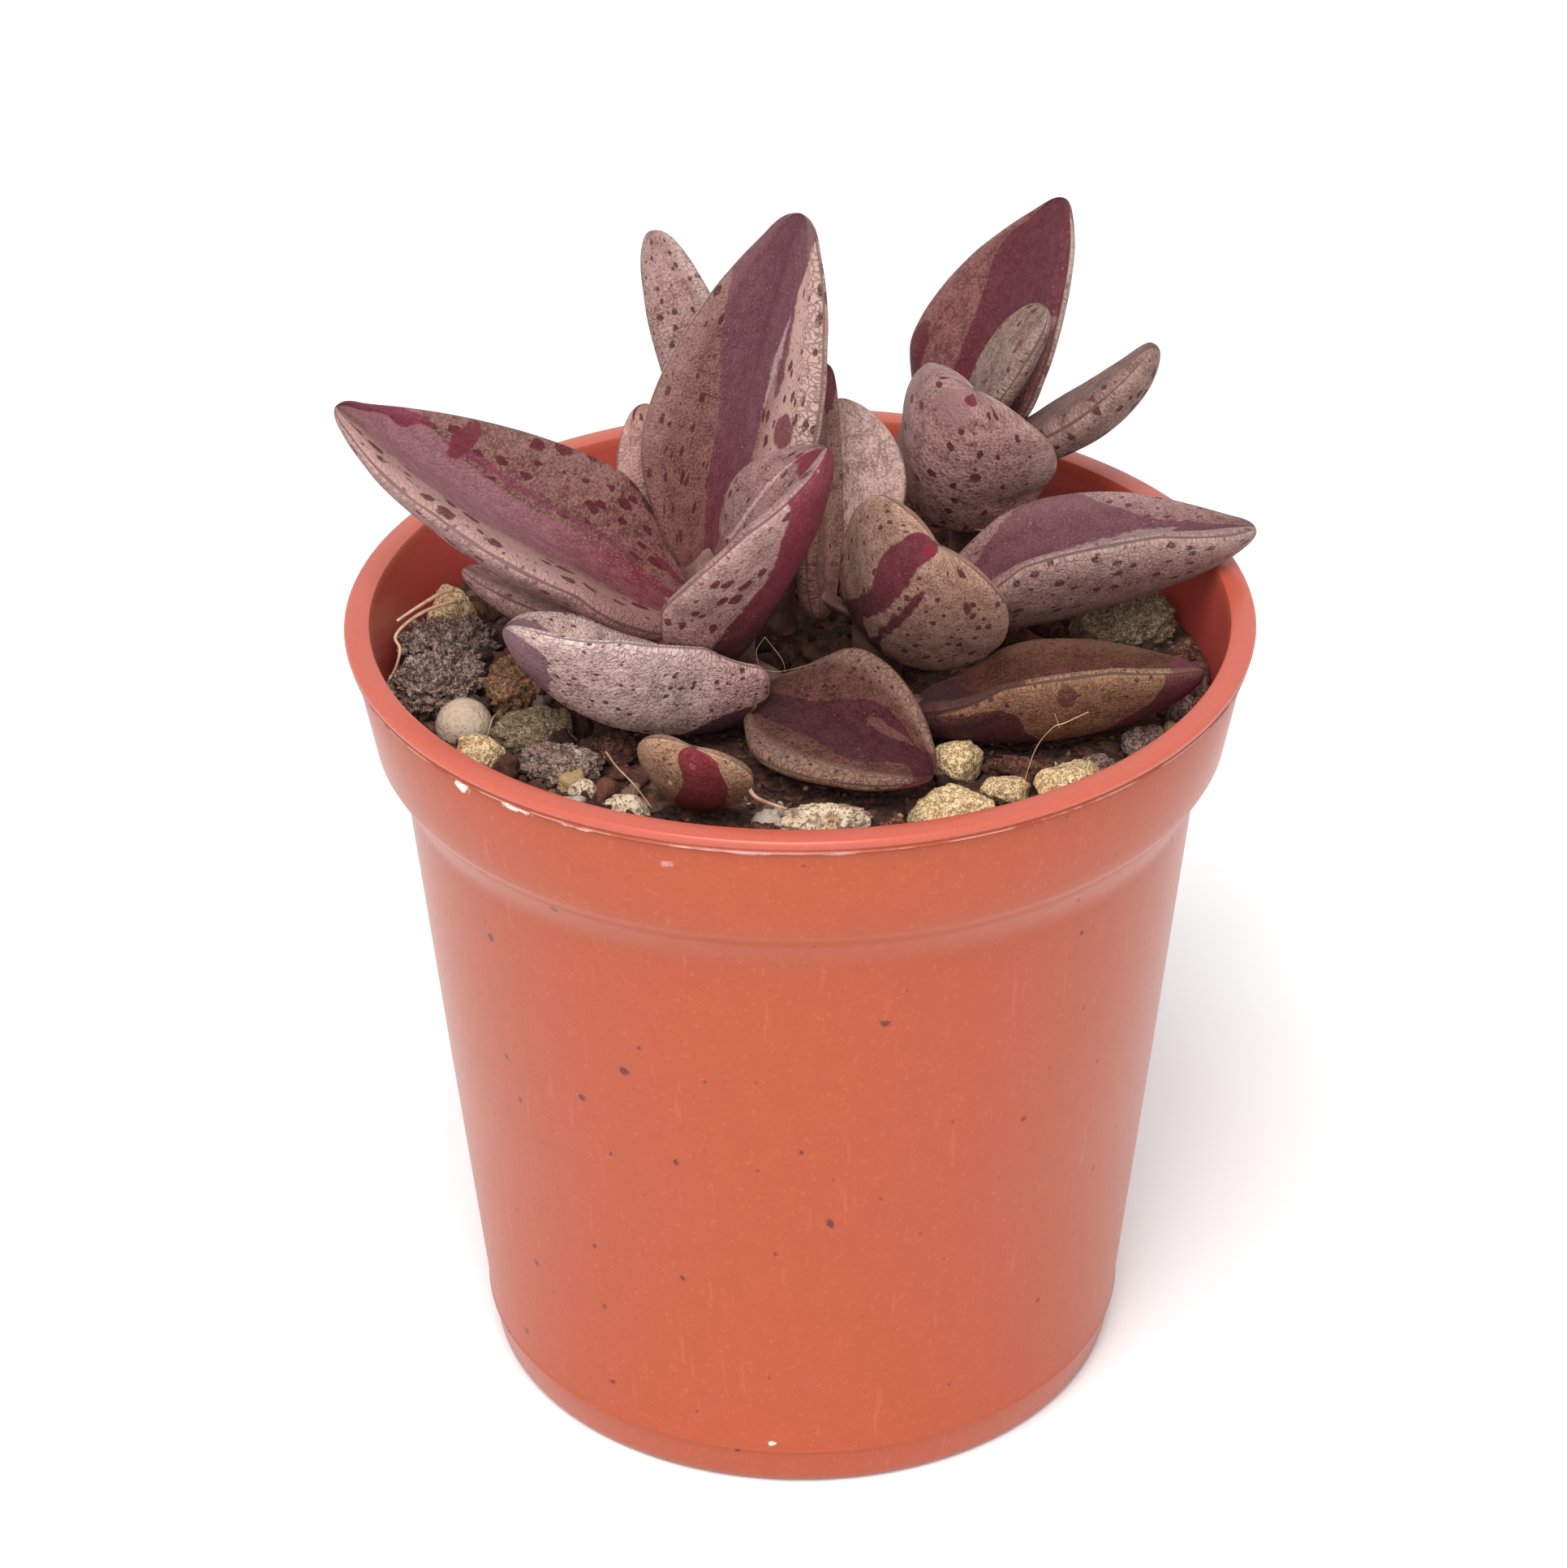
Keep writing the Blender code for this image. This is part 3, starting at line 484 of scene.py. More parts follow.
def pot_material():
    material, tree, surface = new_material("terracotta plastic", 0.4)
    spot = put(tree, "ShaderNodeTexCoord").outputs["Object"]
    place = put(tree, "ShaderNodeVectorMath", {0: spot, 1: (1000, 1000, 1000)}, operation="MULTIPLY").outputs[0]
    parts = put(tree, "ShaderNodeSeparateXYZ", {0: place}).outputs
    level = put(tree, "ShaderNodeVectorMath", {0: spot, 1: (1, 1, 0)}, operation="MULTIPLY").outputs[0]
    outward = put(tree, "ShaderNodeVectorMath", {0: level}, operation="NORMALIZE").outputs[0]
    facing = put(tree, "ShaderNodeNewGeometry").outputs["Normal"]
    facing = put(tree, "ShaderNodeVectorMath", {0: facing, 1: outward}, operation="DOT_PRODUCT").outputs["Value"]
    grain = use_group(tree, GRAIN, {"Place": place, "Grain": 0.35})
    inside = ease(tree, facing, -0.6, -0.1, 1.0, 0.0)
    outside = ease(tree, facing, 0.1, 0.5)
    rim = ease(tree, parts[2], 50.1, 50.7)
    body = tint(tree, grain["Mottle"], colour(161, 66, 30), colour(169, 72, 35))
    # painted light: the inner wall gets a lighter, pinker tone than the outside, though it is the same plastic
    body = tint(tree, calc(tree, "MULTIPLY", inside, calc(tree, "SUBTRACT", 1.0, rim)), body, colour(184, 74, 64))
    body = tint(tree, rim, body, colour(186, 84, 64))
    body = tint(tree, calc(tree, "MULTIPLY", grain["Speckle"], 0.16), body, colour(206, 122, 92))
    around = calc(tree, "MULTIPLY", calc(tree, "ARCTAN2", parts[1], parts[0]), 25.0)
    wall = put(tree, "ShaderNodeCombineXYZ", {0: around, 1: parts[2]}).outputs[0]
    dots = use_group(tree, SPOTS, {"Place": wall, "Cell": 3.4, "Stretch": 1.0, "Share": 0.16, "Size": 0.08})
    body = tint(tree, calc(tree, "MULTIPLY", dots["Mask"], outside), body, colour(96, 30, 26))
    # painted shade: a dark line laid in the groove under the rim
    groove_shade = calc(tree, "MULTIPLY", ease(tree, parts[2], 49.8, 49.9), ease(tree, parts[2], 50.02, 50.1, 1.0, 0.0))
    groove_shade = calc(tree, "MULTIPLY", groove_shade, outside)
    body = tint(tree, calc(tree, "MULTIPLY", groove_shade, 0.75), body, colour(140, 40, 34))
    flash = calc(tree, "MULTIPLY", ease(tree, parts[2], 50.05, 50.1), ease(tree, parts[2], 50.15, 50.22, 1.0, 0.0))
    broken = put(tree, "ShaderNodeTexNoise", {"Vector": place, "Scale": 0.35, "Detail": 5.0}).outputs[0]
    flash = calc(tree, "MULTIPLY", calc(tree, "MULTIPLY", flash, outside), ease(tree, broken, 0.46, 0.6))
    worn = calc(tree, "MULTIPLY", flash, 0.26)
    chips = put(tree, "ShaderNodeTexNoise", {"Vector": place, "Scale": 1.3, "Detail": 6.0, "Roughness": 0.7}).outputs[0]
    for centre, reach, height, white in SCUFFS:
        off = put(tree, "ShaderNodeVectorMath", {0: place, 1: centre}, operation="SUBTRACT").outputs[0]
        size = (1 / reach, 1 / reach, 1 / height)
        off = put(tree, "ShaderNodeVectorMath", {0: off, 1: size}, operation="MULTIPLY").outputs[0]
        far = put(tree, "ShaderNodeVectorMath", {0: off}, operation="LENGTH").outputs["Value"]
        near = ease(tree, calc(tree, "ADD", far, calc(tree, "MULTIPLY", chips, 2.2)), 1.55, 1.85, white, 0.0)
        worn = calc(tree, "MAXIMUM", worn, near)
    drawn = put(tree, "ShaderNodeVectorMath", {0: place, 1: (0.9, 0.9, 0.06)}, operation="MULTIPLY").outputs[0]
    scratch = put(tree, "ShaderNodeTexNoise", {"Vector": drawn, "Scale": 1.6, "Detail": 3.0}).outputs[0]
    scratch = calc(tree, "MULTIPLY", ease(tree, scratch, 0.62, 0.75), 0.07)
    body = tint(tree, scratch, body, colour(236, 150, 128))
    body = tint(tree, worn, body, colour(250, 232, 224))
    tree.links.new(body, surface.inputs["Base Color"])
    gloss = calc(tree, "ADD", 0.34, calc(tree, "MULTIPLY", grain["Height"], 0.18))
    tree.links.new(calc(tree, "ADD", gloss, calc(tree, "MULTIPLY", worn, 0.3)), surface.inputs["Roughness"])
    height = calc(tree, "SUBTRACT", grain["Height"], calc(tree, "MULTIPLY", worn, 0.8))
    bump = put(tree, "ShaderNodeBump", {"Height": height, "Strength": 0.25, "Distance": 0.00006}).outputs[0]
    tree.links.new(bump, surface.inputs["Normal"])
    surface.inputs["IOR"].default_value = 1.5
    surface.inputs["Specular IOR Level"].default_value = 0.3
    surface.inputs["Coat Weight"].default_value = 0.4
    surface.inputs["Coat Roughness"].default_value = 0.22
    return material


def make_pot():
    faces = ring_faces(len(POT_OUTLINE), POT_SIDES)
    last = (len(POT_OUTLINE) - 1) * POT_SIDES
    faces += [tuple(range(POT_SIDES)), tuple(range(last, last + POT_SIDES))]
    pot = lay_piece("pot_shell", pot_points(), faces, pot_material(), ["pot"])
    cut_drain_holes(pot)
    return pot


pot = make_pot()
print("pot:", TRIANGLES["pot_shell"], "triangles before the holes")

# %% [markdown]
# ## The shape of a leaf
# A lenophyllum leaf is a thick boat: two halves folded up along a soft midrib, widest before the middle,
# with fat rounded margins and a blunt point. It could be sculpted, but eighteen leaves want one rule: a
# centre line from foot to tip, a width along it, and a rounded section round it. The numbers of each leaf
# are its place in the frame, so each surface lies where its solid does.

# %% Leaf form
LEAF_STATIONS = 64
LEAF_RING = 72
HEEL_LENGTH = 0.08
SOFT_FOLD = 0.3
KEEL = 0.35

SHOOTS = {
    "shoot_left": {
        "stem": {"x": -4.3, "y": -1.6, "top": 51.6, "radius": 1.7},
        "leaves": {
            "leaf_left_long": dict(
                foot=(-6.3, -1.1, 50.6), tip=(-27.4, 0.4, 64.4), width=13.4, thick=2.4, bow=1.9, sway=0.2,
                roll=-15, twist=-15, fold=36, peak=0.33, neck=0.34, blunt=0.84, nose=1.0),
            "leaf_left_upright": dict(
                foot=(-5.8, 0.6, 52.5), tip=(0.2, 10.0, 72.4), width=12.4, thick=2.7, bow=1.4, sway=-0.4,
                roll=14, twist=5, fold=33, peak=0.36, neck=0.32, blunt=0.82, nose=1.4),
            "leaf_left_folded": dict(
                foot=(-5.1, -5.0, 50.8), tip=(1.6, -6.8, 65.1), width=13.0, thick=2.5, bow=0.6, sway=0.9,
                roll=-16, twist=44, fold=36, peak=0.36, neck=0.60, blunt=0.66, nose=0.9),
            "leaf_left_front": dict(
                foot=(-2.4, -6.0, 48.3), tip=(-17.3, -9.4, 54.8), width=11.8, thick=2.3, bow=2.6,
                roll=36, twist=-30, fold=44, peak=0.50, neck=0.72, blunt=0.42, nose=0.9),
            "leaf_left_under": dict(
                foot=(-6.2, -0.6, 47.6), tip=(-20.5, 2.8, 52.2), width=6.5, thick=1.8, bow=0.8,
                roll=7, fold=24, peak=0.45, neck=0.42, blunt=0.70, nose=0.9),
            "leaf_front_broad": dict(
                foot=(-2.6, -6.6, 48.3), tip=(7.6, -15.8, 48.4), width=10.5, thick=2.2, bow=0.0,
                roll=20, twist=8, fold=24, peak=0.40, neck=0.30, blunt=0.80, nose=1.2),
            "leaf_left_back_low": dict(
                foot=(-6.0, 0.9, 48.6), tip=(-9.6, 10.0, 59.8), width=6.4, thick=2.0, bow=0.4,
                roll=-15, fold=25, peak=0.53, neck=0.42, blunt=0.64, nose=0.8),
        },
    },
    "shoot_middle": {
        "stem": {"x": 4.7, "y": 1.6, "top": 50.6, "radius": 1.6},
        "leaves": {
            "leaf_middle_front": dict(
                foot=(5.1, -0.9, 49.5), tip=(7.9, -9.8, 60.3), width=12.9, thick=2.4, bow=0.2,
                roll=-54, fold=25, peak=0.36, neck=0.60, blunt=0.48, nose=1.0),
            "leaf_right_long": dict(
                foot=(6.9, 1.6, 49.2), tip=(28.0, 6.0, 53.0), width=11.6, thick=2.7, bow=0.4, sway=0.2,
                roll=-4, twist=4, fold=47, peak=0.43, neck=0.34, blunt=0.82, nose=1.1),
            "leaf_middle_narrow": dict(
                foot=(1.2, 1.4, 49.4), tip=(1.5, 8.4, 63.3), width=4.2, thick=1.8, bow=0.6,
                roll=56, twist=3, fold=23, peak=0.38, neck=0.50, blunt=0.45, nose=0.7),
            "leaf_middle_back": dict(
                foot=(3.9, 4.3, 51.0), tip=(2.6, 12.5, 58.9), width=7.2, thick=2.0, bow=0.8,
                fold=21, peak=0.55, neck=0.41, blunt=0.62, nose=0.4),
        },
    },
    "shoot_back": {
        "stem": {"x": 10.8, "y": 15.6, "top": 53.0, "radius": 1.3},
        "leaves": {
            "leaf_back_upright": dict(
                foot=(9.1, 19.3, 50.9), tip=(16.9, 24.0, 67.2), width=13.4, thick=2.2, bow=0.3, sway=0.3,
                roll=2, twist=-4, fold=14, peak=0.36, neck=0.36, blunt=0.82, nose=1.2),
            "leaf_back_front": dict(
                foot=(9.3, 13.5, 50.3), tip=(10.7, 9.2, 61.0), width=13.2, thick=2.5, bow=0.7, sway=0.2,
                roll=-48, twist=-7, fold=36, peak=0.48, neck=0.66, blunt=0.52, nose=1.0),
            "leaf_back_young_left": dict(
                foot=(10.4, 14.4, 54.6), tip=(15.4, 15.2, 63.7), width=5.4, thick=2.0, bow=-0.3,
                roll=-3, twist=10, fold=8, peak=0.55, neck=0.40, blunt=0.49, nose=0.8),
            "leaf_back_young_right": dict(
                foot=(12.3, 14.1, 54.5), tip=(22.0, 13.0, 62.0), width=6.2, thick=2.5, bow=1.3, sway=-0.2,
                roll=-6, twist=-4, fold=12, peak=0.44, neck=0.36, blunt=0.42, nose=0.8),
        },
    },
    "shoot_right_low": {
        "stem": {"x": 4.5, "y": -6.9, "top": 49.4, "radius": 1.1},
        "leaves": {
            "leaf_right_low": dict(
                foot=(6.6, -7.7, 48.2), tip=(23.9, -7.1, 50.3), width=10.8, thick=2.4, bow=1.2, sway=0.3,
                roll=-10, twist=-6, fold=37, peak=0.46, neck=0.34, blunt=0.66, nose=1.25),
        },
    },
    "shoot_front": {
        "stem": {"x": -5.7, "y": -14.0, "top": 48.2, "radius": 1.1},
        "leaves": {
            "leaf_front_small": dict(
                foot=(-6.1, -15.3, 47.0), tip=(-6.2, -20.0, 52.8), width=7.0, thick=1.9, bow=0.3,
                roll=-12, twist=-7, fold=9, peak=0.58, neck=0.60, blunt=0.42, nose=0.8),
        },
    },
    "shoot_left_back": {
        "stem": {"x": -1.4, "y": 7.2, "top": 50.8, "radius": 1.2},
        "leaves": {
            "leaf_left_back_tall": dict(
                foot=(-1.7, 8.4, 51.2), tip=(-9.0, 15.5, 68.9), width=7.0, thick=2.2, bow=1.2,
                roll=85, fold=34, peak=0.50, neck=0.42, blunt=0.46, nose=1.0),
        },
    },
}


def leaf_frame(leaf, u):
    """Centre of the leaf at the share u of its length, with its directions along, across and up."""
    foot = Vector(leaf["foot"])
    chord = Vector(leaf["tip"]) - foot
    along = chord.normalized()
    up = Vector((0.0, 0.0, 1.0))
    up = (up - up.dot(along) * along).normalized()
    up = Matrix.Rotation(radians(leaf.get("roll", 0.0)), 3, along) @ up
    across = along.cross(up)
    hump = 4 * u * (1 - u)
    slope = 4 * (1 - 2 * u)
    bow = leaf.get("bow", 0.0)
    sway = leaf.get("sway", 0.0)
    centre = foot + chord * u - up * bow * hump + across * sway * hump
    heading = (chord - up * bow * slope + across * sway * slope).normalized()
    face = (up - up.dot(heading) * heading).normalized()
    face = Matrix.Rotation(radians(leaf.get("twist", 0.0) * u), 3, heading) @ face
    return centre, heading, heading.cross(face), face


def leaf_half_width(leaf, u):
    peak = leaf["peak"]
    if u < peak:
        share = leaf["neck"] + (1 - leaf["neck"]) * sin(pi / 2 * u / peak) ** 1.3
    else:
        share = (1 - ((u - peak) / (1 - peak)) ** 1.9) ** leaf["blunt"]
    heel = sqrt(1 - (1 - min(u / HEEL_LENGTH, 1.0)) ** 2)
    nose = leaf["nose"]
    length = (Vector(leaf["tip"]) - Vector(leaf["foot"])).length
    rounding = sqrt(nose**2 - (nose - min((1 - u) * length, nose)) ** 2)
    half = ((leaf["width"] / 2 * share) ** 4 + rounding**4) ** 0.25
    return half * heel, heel


def leaf_ring(leaf, u, points):
    """Points round the leaf, each with its place across the leaf and 1 on the upper face or 0 below."""
    centre, _, across, face = leaf_frame(leaf, u)
    half, heel = leaf_half_width(leaf, u)
    thick = leaf["thick"] / 2 * (1 - u**6) ** 0.5 * heel * (0.85 + 0.15 * sin(pi * u))
    thick = min(thick, 0.9 * half + 0.01)
    fold = radians(leaf["fold"]) * min(1.0, 0.35 + 2.2 * u) * (1 - 0.35 * max(0.0, (u - 0.7) / 0.3))
    span = sqrt(1 + SOFT_FOLD**2) - SOFT_FOLD
    ring = []
    for point in range(points):
        angle = 2 * pi * (point + 0.5) / points
        v = copysign(abs(cos(angle)) ** 0.85, cos(angle))
        side = half * v * cos(fold)
        rise = half * (sqrt(v * v + SOFT_FOLD**2) - SOFT_FOLD) / span * sin(fold)
        lean = sin(fold) * v / sqrt(v * v + SOFT_FOLD**2) / span
        length = hypot(lean, cos(fold))
        upper = sin(angle) > 0
        if upper:
            offset = 0.9 * thick * sin(angle) ** 0.8
            offset += 0.10 * heel * np.exp(-(((abs(v) - 0.86) / 0.09) ** 2))
        else:
            offset = -thick * abs(sin(angle)) ** 0.8 * (1 + KEEL * (1 - v * v))
        waver = 0.06 * heel * noise.noise(centre * 0.5 + across * v * 2.0)
        offset += waver if upper else -waver
        side -= lean / length * offset
        rise += cos(fold) / length * offset
        ring.append((centre + across * side + face * rise, v, 1.0 if upper else 0.0))
    return ring


def leaf_surface(leaf):
    """All points and faces of a leaf, with what its finish reads: shares, and millimetres on the skin."""
    points, shares, skin = [], [], []
    length = (Vector(leaf["tip"]) - Vector(leaf["foot"])).length
    for station in range(1, LEAF_STATIONS):
        u = 0.5 - 0.5 * cos(pi * station / LEAF_STATIONS)
        half = leaf_half_width(leaf, u)[0]
        for point, v, upper in leaf_ring(leaf, u, LEAF_RING):
            points.append(point)
            shares.append((u, v, upper))
            skin.append((u * length, v * (0.4 * half + 0.3 * leaf["width"]), upper * 9.0 + length))
    rings = LEAF_STATIONS - 1
    faces = ring_faces(rings, LEAF_RING)
    foot = len(points)
    points += [Vector(leaf["foot"]), Vector(leaf["tip"])]
    shares += [(0.0, 0.0, 0.5), (1.0, 0.0, 0.5)]
    skin += [(0.0, 0.0, length), (length, 0.0, length)]
    last = (rings - 1) * LEAF_RING
    for point in range(LEAF_RING):
        beside = (point + 1) % LEAF_RING
        faces.append((foot, beside, point))
        faces.append((foot + 1, last + point, last + beside))
    return points, faces, shares, skin


print("leaves:", sum(len(shoot["leaves"]) for shoot in SHOOTS.values()))

# %% [markdown]
# ## The skin of a leaf
# The skin is pale pinkish grey with a dusty bloom. Each face has its own wine-red or plum bands, round or
# drawn-out spots, blotches and, at the margins, a net of dry cracks. These marks aren't random: they follow
# the leaf's own lines. So every mark is stated in shares of the leaf, along from 0 at the foot to 1 at the
# tip and across from -1 to 1, and a float curve carries each band's two edges along the leaf.

# %% Leaf looks
PALE = (178, 148, 141)
LILAC = (178, 152, 148)
TAN = (140, 106, 88)
OLIVE = (130, 98, 80)
GREENISH = (148, 128, 116)
WINE = (112, 46, 56)
PLUM = (122, 74, 84)
MAUVE = (146, 106, 112)
DARK = (62, 28, 32)
CRIMSON = (122, 30, 48)
BLUSH = (198, 112, 118)

# A band holds its colour at the foot and at the tip, then its edges as (along, low, high).
# A blotch is (colour, along, across, reach along, reach across). Spots are (cell, stretch, share, size, colour), and
# spots_beyond keeps them to the outer parts of the leaf.
# light darkens a whole face and deepens its colour: painted shade for a face that lies in shade.
# shade sets how strongly a face is painted darker toward its foot: painted shade between the leaves.
LEAF_LOOKS = {
    "leaf_left_long": {
        "upper": dict(
            light=0.64, skin=(152, 119, 112), crackle=0.3, pale=(-1, 0.7), spots=(0.95, 1.8, 0.6, 0.4, (84, 26, 34)), spots_beyond=0.4,
            bands=[
                ((116, 37, 54), (138, 94, 100), [(0, -0.7, 0.3), (0.07, -0.6, 0.33), (0.2, -0.4, 0.38), (0.3, -0.35, 0.36), (0.4, -0.4, 0.36),
                                        (0.5, -0.5, 0.38), (0.6, -0.58, 0.44), (0.7, -0.6, 0.54), (0.8, -0.5, 0.78), (0.9, -0.3, 1.2), (1, 0.1, 1.2)]),
                ((118, 70, 78), (118, 58, 72), [(0, 0.6, 0.4), (0.18, 0.45, 0.42), (0.24, 0.41, 0.46), (0.4, 0.44, 0.48), (0.55, 0.48, 0.54), (0.65, 0.54, 0.62), (0.74, 0.62, 0.66), (0.8, 0.7, 0.6), (1, 0.9, 0.6)]),
                ((112, 42, 58), (112, 42, 58), [(0, 0.6, 0.4), (0.76, 0.8, 0.7), (0.82, 0.74, 0.9), (0.86, 0.6, 0.96), (0.9, 0.74, 1.2), (0.95, 0.66, 1.2), (1, 0.5, 1.2)]),
            ],
            blotches=[((108, 40, 54), 0.71, 0.74, 0.03, 0.26), (WINE, 0.1, 0.62, 0.05, 0.06)]),
        "lower": dict(light=0.85, skin=(168, 138, 132), crackle=0.2, spots=(0.95, 1.6, 0.55, 0.36, WINE), bands=[(WINE, WINE, [(0, -0.9, 0.9), (0.12, -0.7, 0.7), (0.2, -0.3, 0.3), (0.26, 0.2, -0.2), (1, 0.5, -0.5)])]),
    },
    "leaf_left_upright": {
        "upper": dict(
            light=0.54, skin=(156, 126, 117), crackle=0.9, pale=(1, 0.85), spots=(0.62, 2.7, 0.6, 0.3, (74, 28, 30)), spots_beyond=0.2,
            bands=[
                ((100, 38, 48), (100, 58, 69), [(0, -0.1, 0.3), (0.1, -0.18, 0.25), (0.2, -0.28, 0.25), (0.3, -0.33, 0.35), (0.4, -0.35, 0.4), (0.5, -0.45, 0.36),
                                                (0.6, -0.6, 0.36), (0.7, -0.75, 0.5), (0.8, -0.95, 0.58), (0.9, -1.15, 0.85), (1, -1.2, 1.2)]),
                ((96, 48, 59), (100, 54, 66), [(0, 0.7, 0.3), (0.48, 0.5, 0.45), (0.55, 0.48, 0.56), (0.65, 0.5, 0.58), (0.8, 0.55, 0.6), (1, 0.7, 0.5)]),
                ((158, 130, 128), (158, 130, 128), [(0, 0.6, 0.3), (0.46, 0.4, 0.36), (0.52, 0.36, 0.41), (0.62, 0.4, 0.47), (0.72, 0.5, 0.54), (0.8, 0.6, 0.5), (1, 0.8, 0.5)]),
            ],
            blotches=[((110, 52, 62), 0.43, 0.72, 0.05, 0.13)]),
        "lower": dict(light=0.8, skin=PALE, crackle=0.3, spots=(0.8, 2.0, 0.5, 0.3, WINE), bands=[(PLUM, WINE, [(0, -0.3, 0.3), (0.6, -0.15, 0.15), (1, -0.6, 0.6)])]),
    },
    "leaf_left_folded": {
        "upper": dict(
            light=0.74, skin=(162, 132, 127), crackle=0.1, spots=(0.62, 2.4, 0.65, 0.28, (78, 34, 38)),
            bands=[((186, 156, 150), (186, 156, 150), [(0, 0, -0.4), (0.3, -0.75, -0.78), (0.4, -0.64, -0.6), (0.7, -0.56, -0.52), (1, -0.6, -0.56)])],
            blotches=[(CRIMSON, 0.93, 0.0, 0.07, 0.6), (WINE, 0.14, -0.32, 0.03, 0.1), (WINE, 0.23, -0.04, 0.025, 0.08), (WINE, 0.12, -0.66, 0.025, 0.09)]),
        "lower": dict(
            light=0.82, skin=(170, 141, 135), crackle=0.15, spots=(0.92, 1.25, 0.66, 0.42, (88, 20, 28)),
            # the band is crimson; its near-black foot tone is painted shade where the foot lies in shadow
            bands=[((40, 16, 20), (112, 26, 46), [(0, -0.6, 0.75), (0.2, -0.5, 0.5), (0.45, -0.4, 0.45), (0.6, -0.4, 0.5), (0.7, -0.4, 0.66), (0.8, -0.4, 0.88), (0.9, -0.5, 1.2), (1, -0.8, 1.2)])]),
    },
    "leaf_left_front": {
        "upper": dict(
            skin=(188, 160, 153), crackle=0.9, spots=(0.6, 1.3, 0.5, 0.26, DARK),
            bands=[((120, 88, 96), (120, 88, 96), [(0, 0, -0.4), (0.79, -0.1, -0.2), (0.83, -0.7, 0.45), (0.9, -0.8, 0.6), (1, -0.8, 0.7)])]),
        "lower": dict(
            skin=(188, 160, 155), crackle=0.8, spots=(0.6, 1.3, 0.5, 0.24, (70, 30, 34)),
            bands=[((70, 34, 44), (70, 34, 44), [(0, -0.7, 0.7), (0.1, -0.5, 0.6), (0.2, -0.36, 0.5), (0.29, -0.1, 0.4), (0.36, 0.3, -0.1), (1, 0.8, -0.4)]),
                   ((110, 78, 88), (118, 86, 95), [(0, 0, -0.4), (0.76, -0.1, -0.2), (0.82, -0.4, 0.8), (0.9, -0.7, 0.8), (1, -0.8, 0.8)])]),
    },
    "leaf_left_under": {
        "upper": dict(skin=(182, 142, 134), crackle=0.3, spots=(0.8, 1.6, 0.5, 0.3, WINE), bands=[(PLUM, (140, 100, 108), [(0, -0.3, 0.2), (0.5, -0.1, 0.2), (0.8, 0, 0), (1, 0.2, -0.2)])]),
        "lower": dict(skin=(178, 140, 132), crackle=0.6, spots=(0.7, 1.4, 0.5, 0.26, WINE)),
    },
    "leaf_front_broad": {
        "upper": dict(
            light=0.44, skin=(132, 100, 84), crackle=0.95, spots=(0.5, 1.5, 0.5, 0.24, (46, 22, 20)), shade=0.2,
            bands=[
                ((56, 14, 22), (64, 18, 28), [(0, -0.2, 0.65), (0.1, -0.22, 0.6), (0.3, -0.25, 0.5), (0.45, -0.42, 0.45), (0.6, -0.58, 0.55),
                                               (0.7, -0.62, 0.6), (0.8, -0.6, 0.42), (0.9, -0.55, 0.3), (0.97, -1.1, 1.1), (1, -1.2, 1.2)]),
                ((98, 62, 54), (98, 62, 54), [(0, 0, -0.4), (0.58, -0.3, -0.34), (0.64, -0.42, -0.3), (0.75, -0.44, -0.3), (0.86, -0.5, -0.46), (1, -0.3, -0.6)]),
            ],
            blotches=[((70, 18, 30), 1.0, 0.0, 0.06, 1.0)]),
        "lower": dict(light=0.8, skin=(138, 104, 86), crackle=0.5, spots=(0.6, 1.4, 0.5, 0.24, DARK), bands=[((110, 50, 54), CRIMSON, [(0, -0.5, 0.3), (0.6, -0.4, 0.4), (1, -1.2, 1.2)])]),
    },
    "leaf_front_small": {
        "upper": dict(skin=OLIVE, crackle=0.3, spots=(0.6, 1.4, 0.4, 0.26, WINE), bands=[(WINE, WINE, [(0, -0.5, 0.2), (1, -0.5, 0.2)])]),
        "lower": dict(
            skin=(166, 130, 104), crackle=0.3, spots=(0.5, 1.3, 0.5, 0.22, (88, 54, 44)),
            bands=[((108, 36, 42), (122, 34, 46), [(0, -0.62, 0.36), (0.3, -0.64, 0.26), (0.5, -0.6, 0.12), (0.7, -0.62, 0.06), (0.85, -0.66, 0.14), (1, -0.9, 0.5)])],
            blotches=[((236, 214, 200), 0.61, 0.25, 0.03, 0.035), ((176, 84, 88), 0.9, -0.1, 0.025, 0.08)]),
    },
    "leaf_middle_front": {
        "upper": dict(skin=TAN, crackle=0.3, spots=(0.8, 1.8, 0.4, 0.3, WINE), bands=[(WINE, PLUM, [(0, -0.4, 0.4), (1, -0.4, 0.4)])]),
        "lower": dict(
            skin=(167, 132, 114), crackle=0.2, spots=(0.72, 1.8, 0.5, 0.28, (84, 38, 34)),
            bands=[
                ((50, 16, 22), (106, 34, 50), [(0, -0.3, 0.8), (0.1, 0.0, 0.6), (0.2, 0.18, 0.4), (0.3, 0.1, 0.3), (0.5, 0.03, 0.24), (0.65, 0.0, 0.32),
                                               (0.8, 0.0, 0.4), (0.9, 0.0, 0.46), (1, -0.2, 0.9)]),
                ((70, 20, 28), (98, 30, 42), [(0, -0.3, 0.1), (0.15, -0.06, 0.03), (0.4, -0.09, -0.01), (0.6, -0.13, -0.06), (0.76, -0.15, -0.11), (0.85, -0.1, -0.2), (1, 0, -0.5)]),
            ],
            blotches=[((140, 40, 62), 0.98, 0.08, 0.035, 0.12), ((104, 50, 44), 0.73, -0.62, 0.05, 0.04)]),
    },
    "leaf_right_long": {
        "upper": dict(
            light=0.72, skin=(158, 130, 125), crackle=0.5, spots=(0.6, 1.8, 0.5, 0.24, (84, 44, 46)),
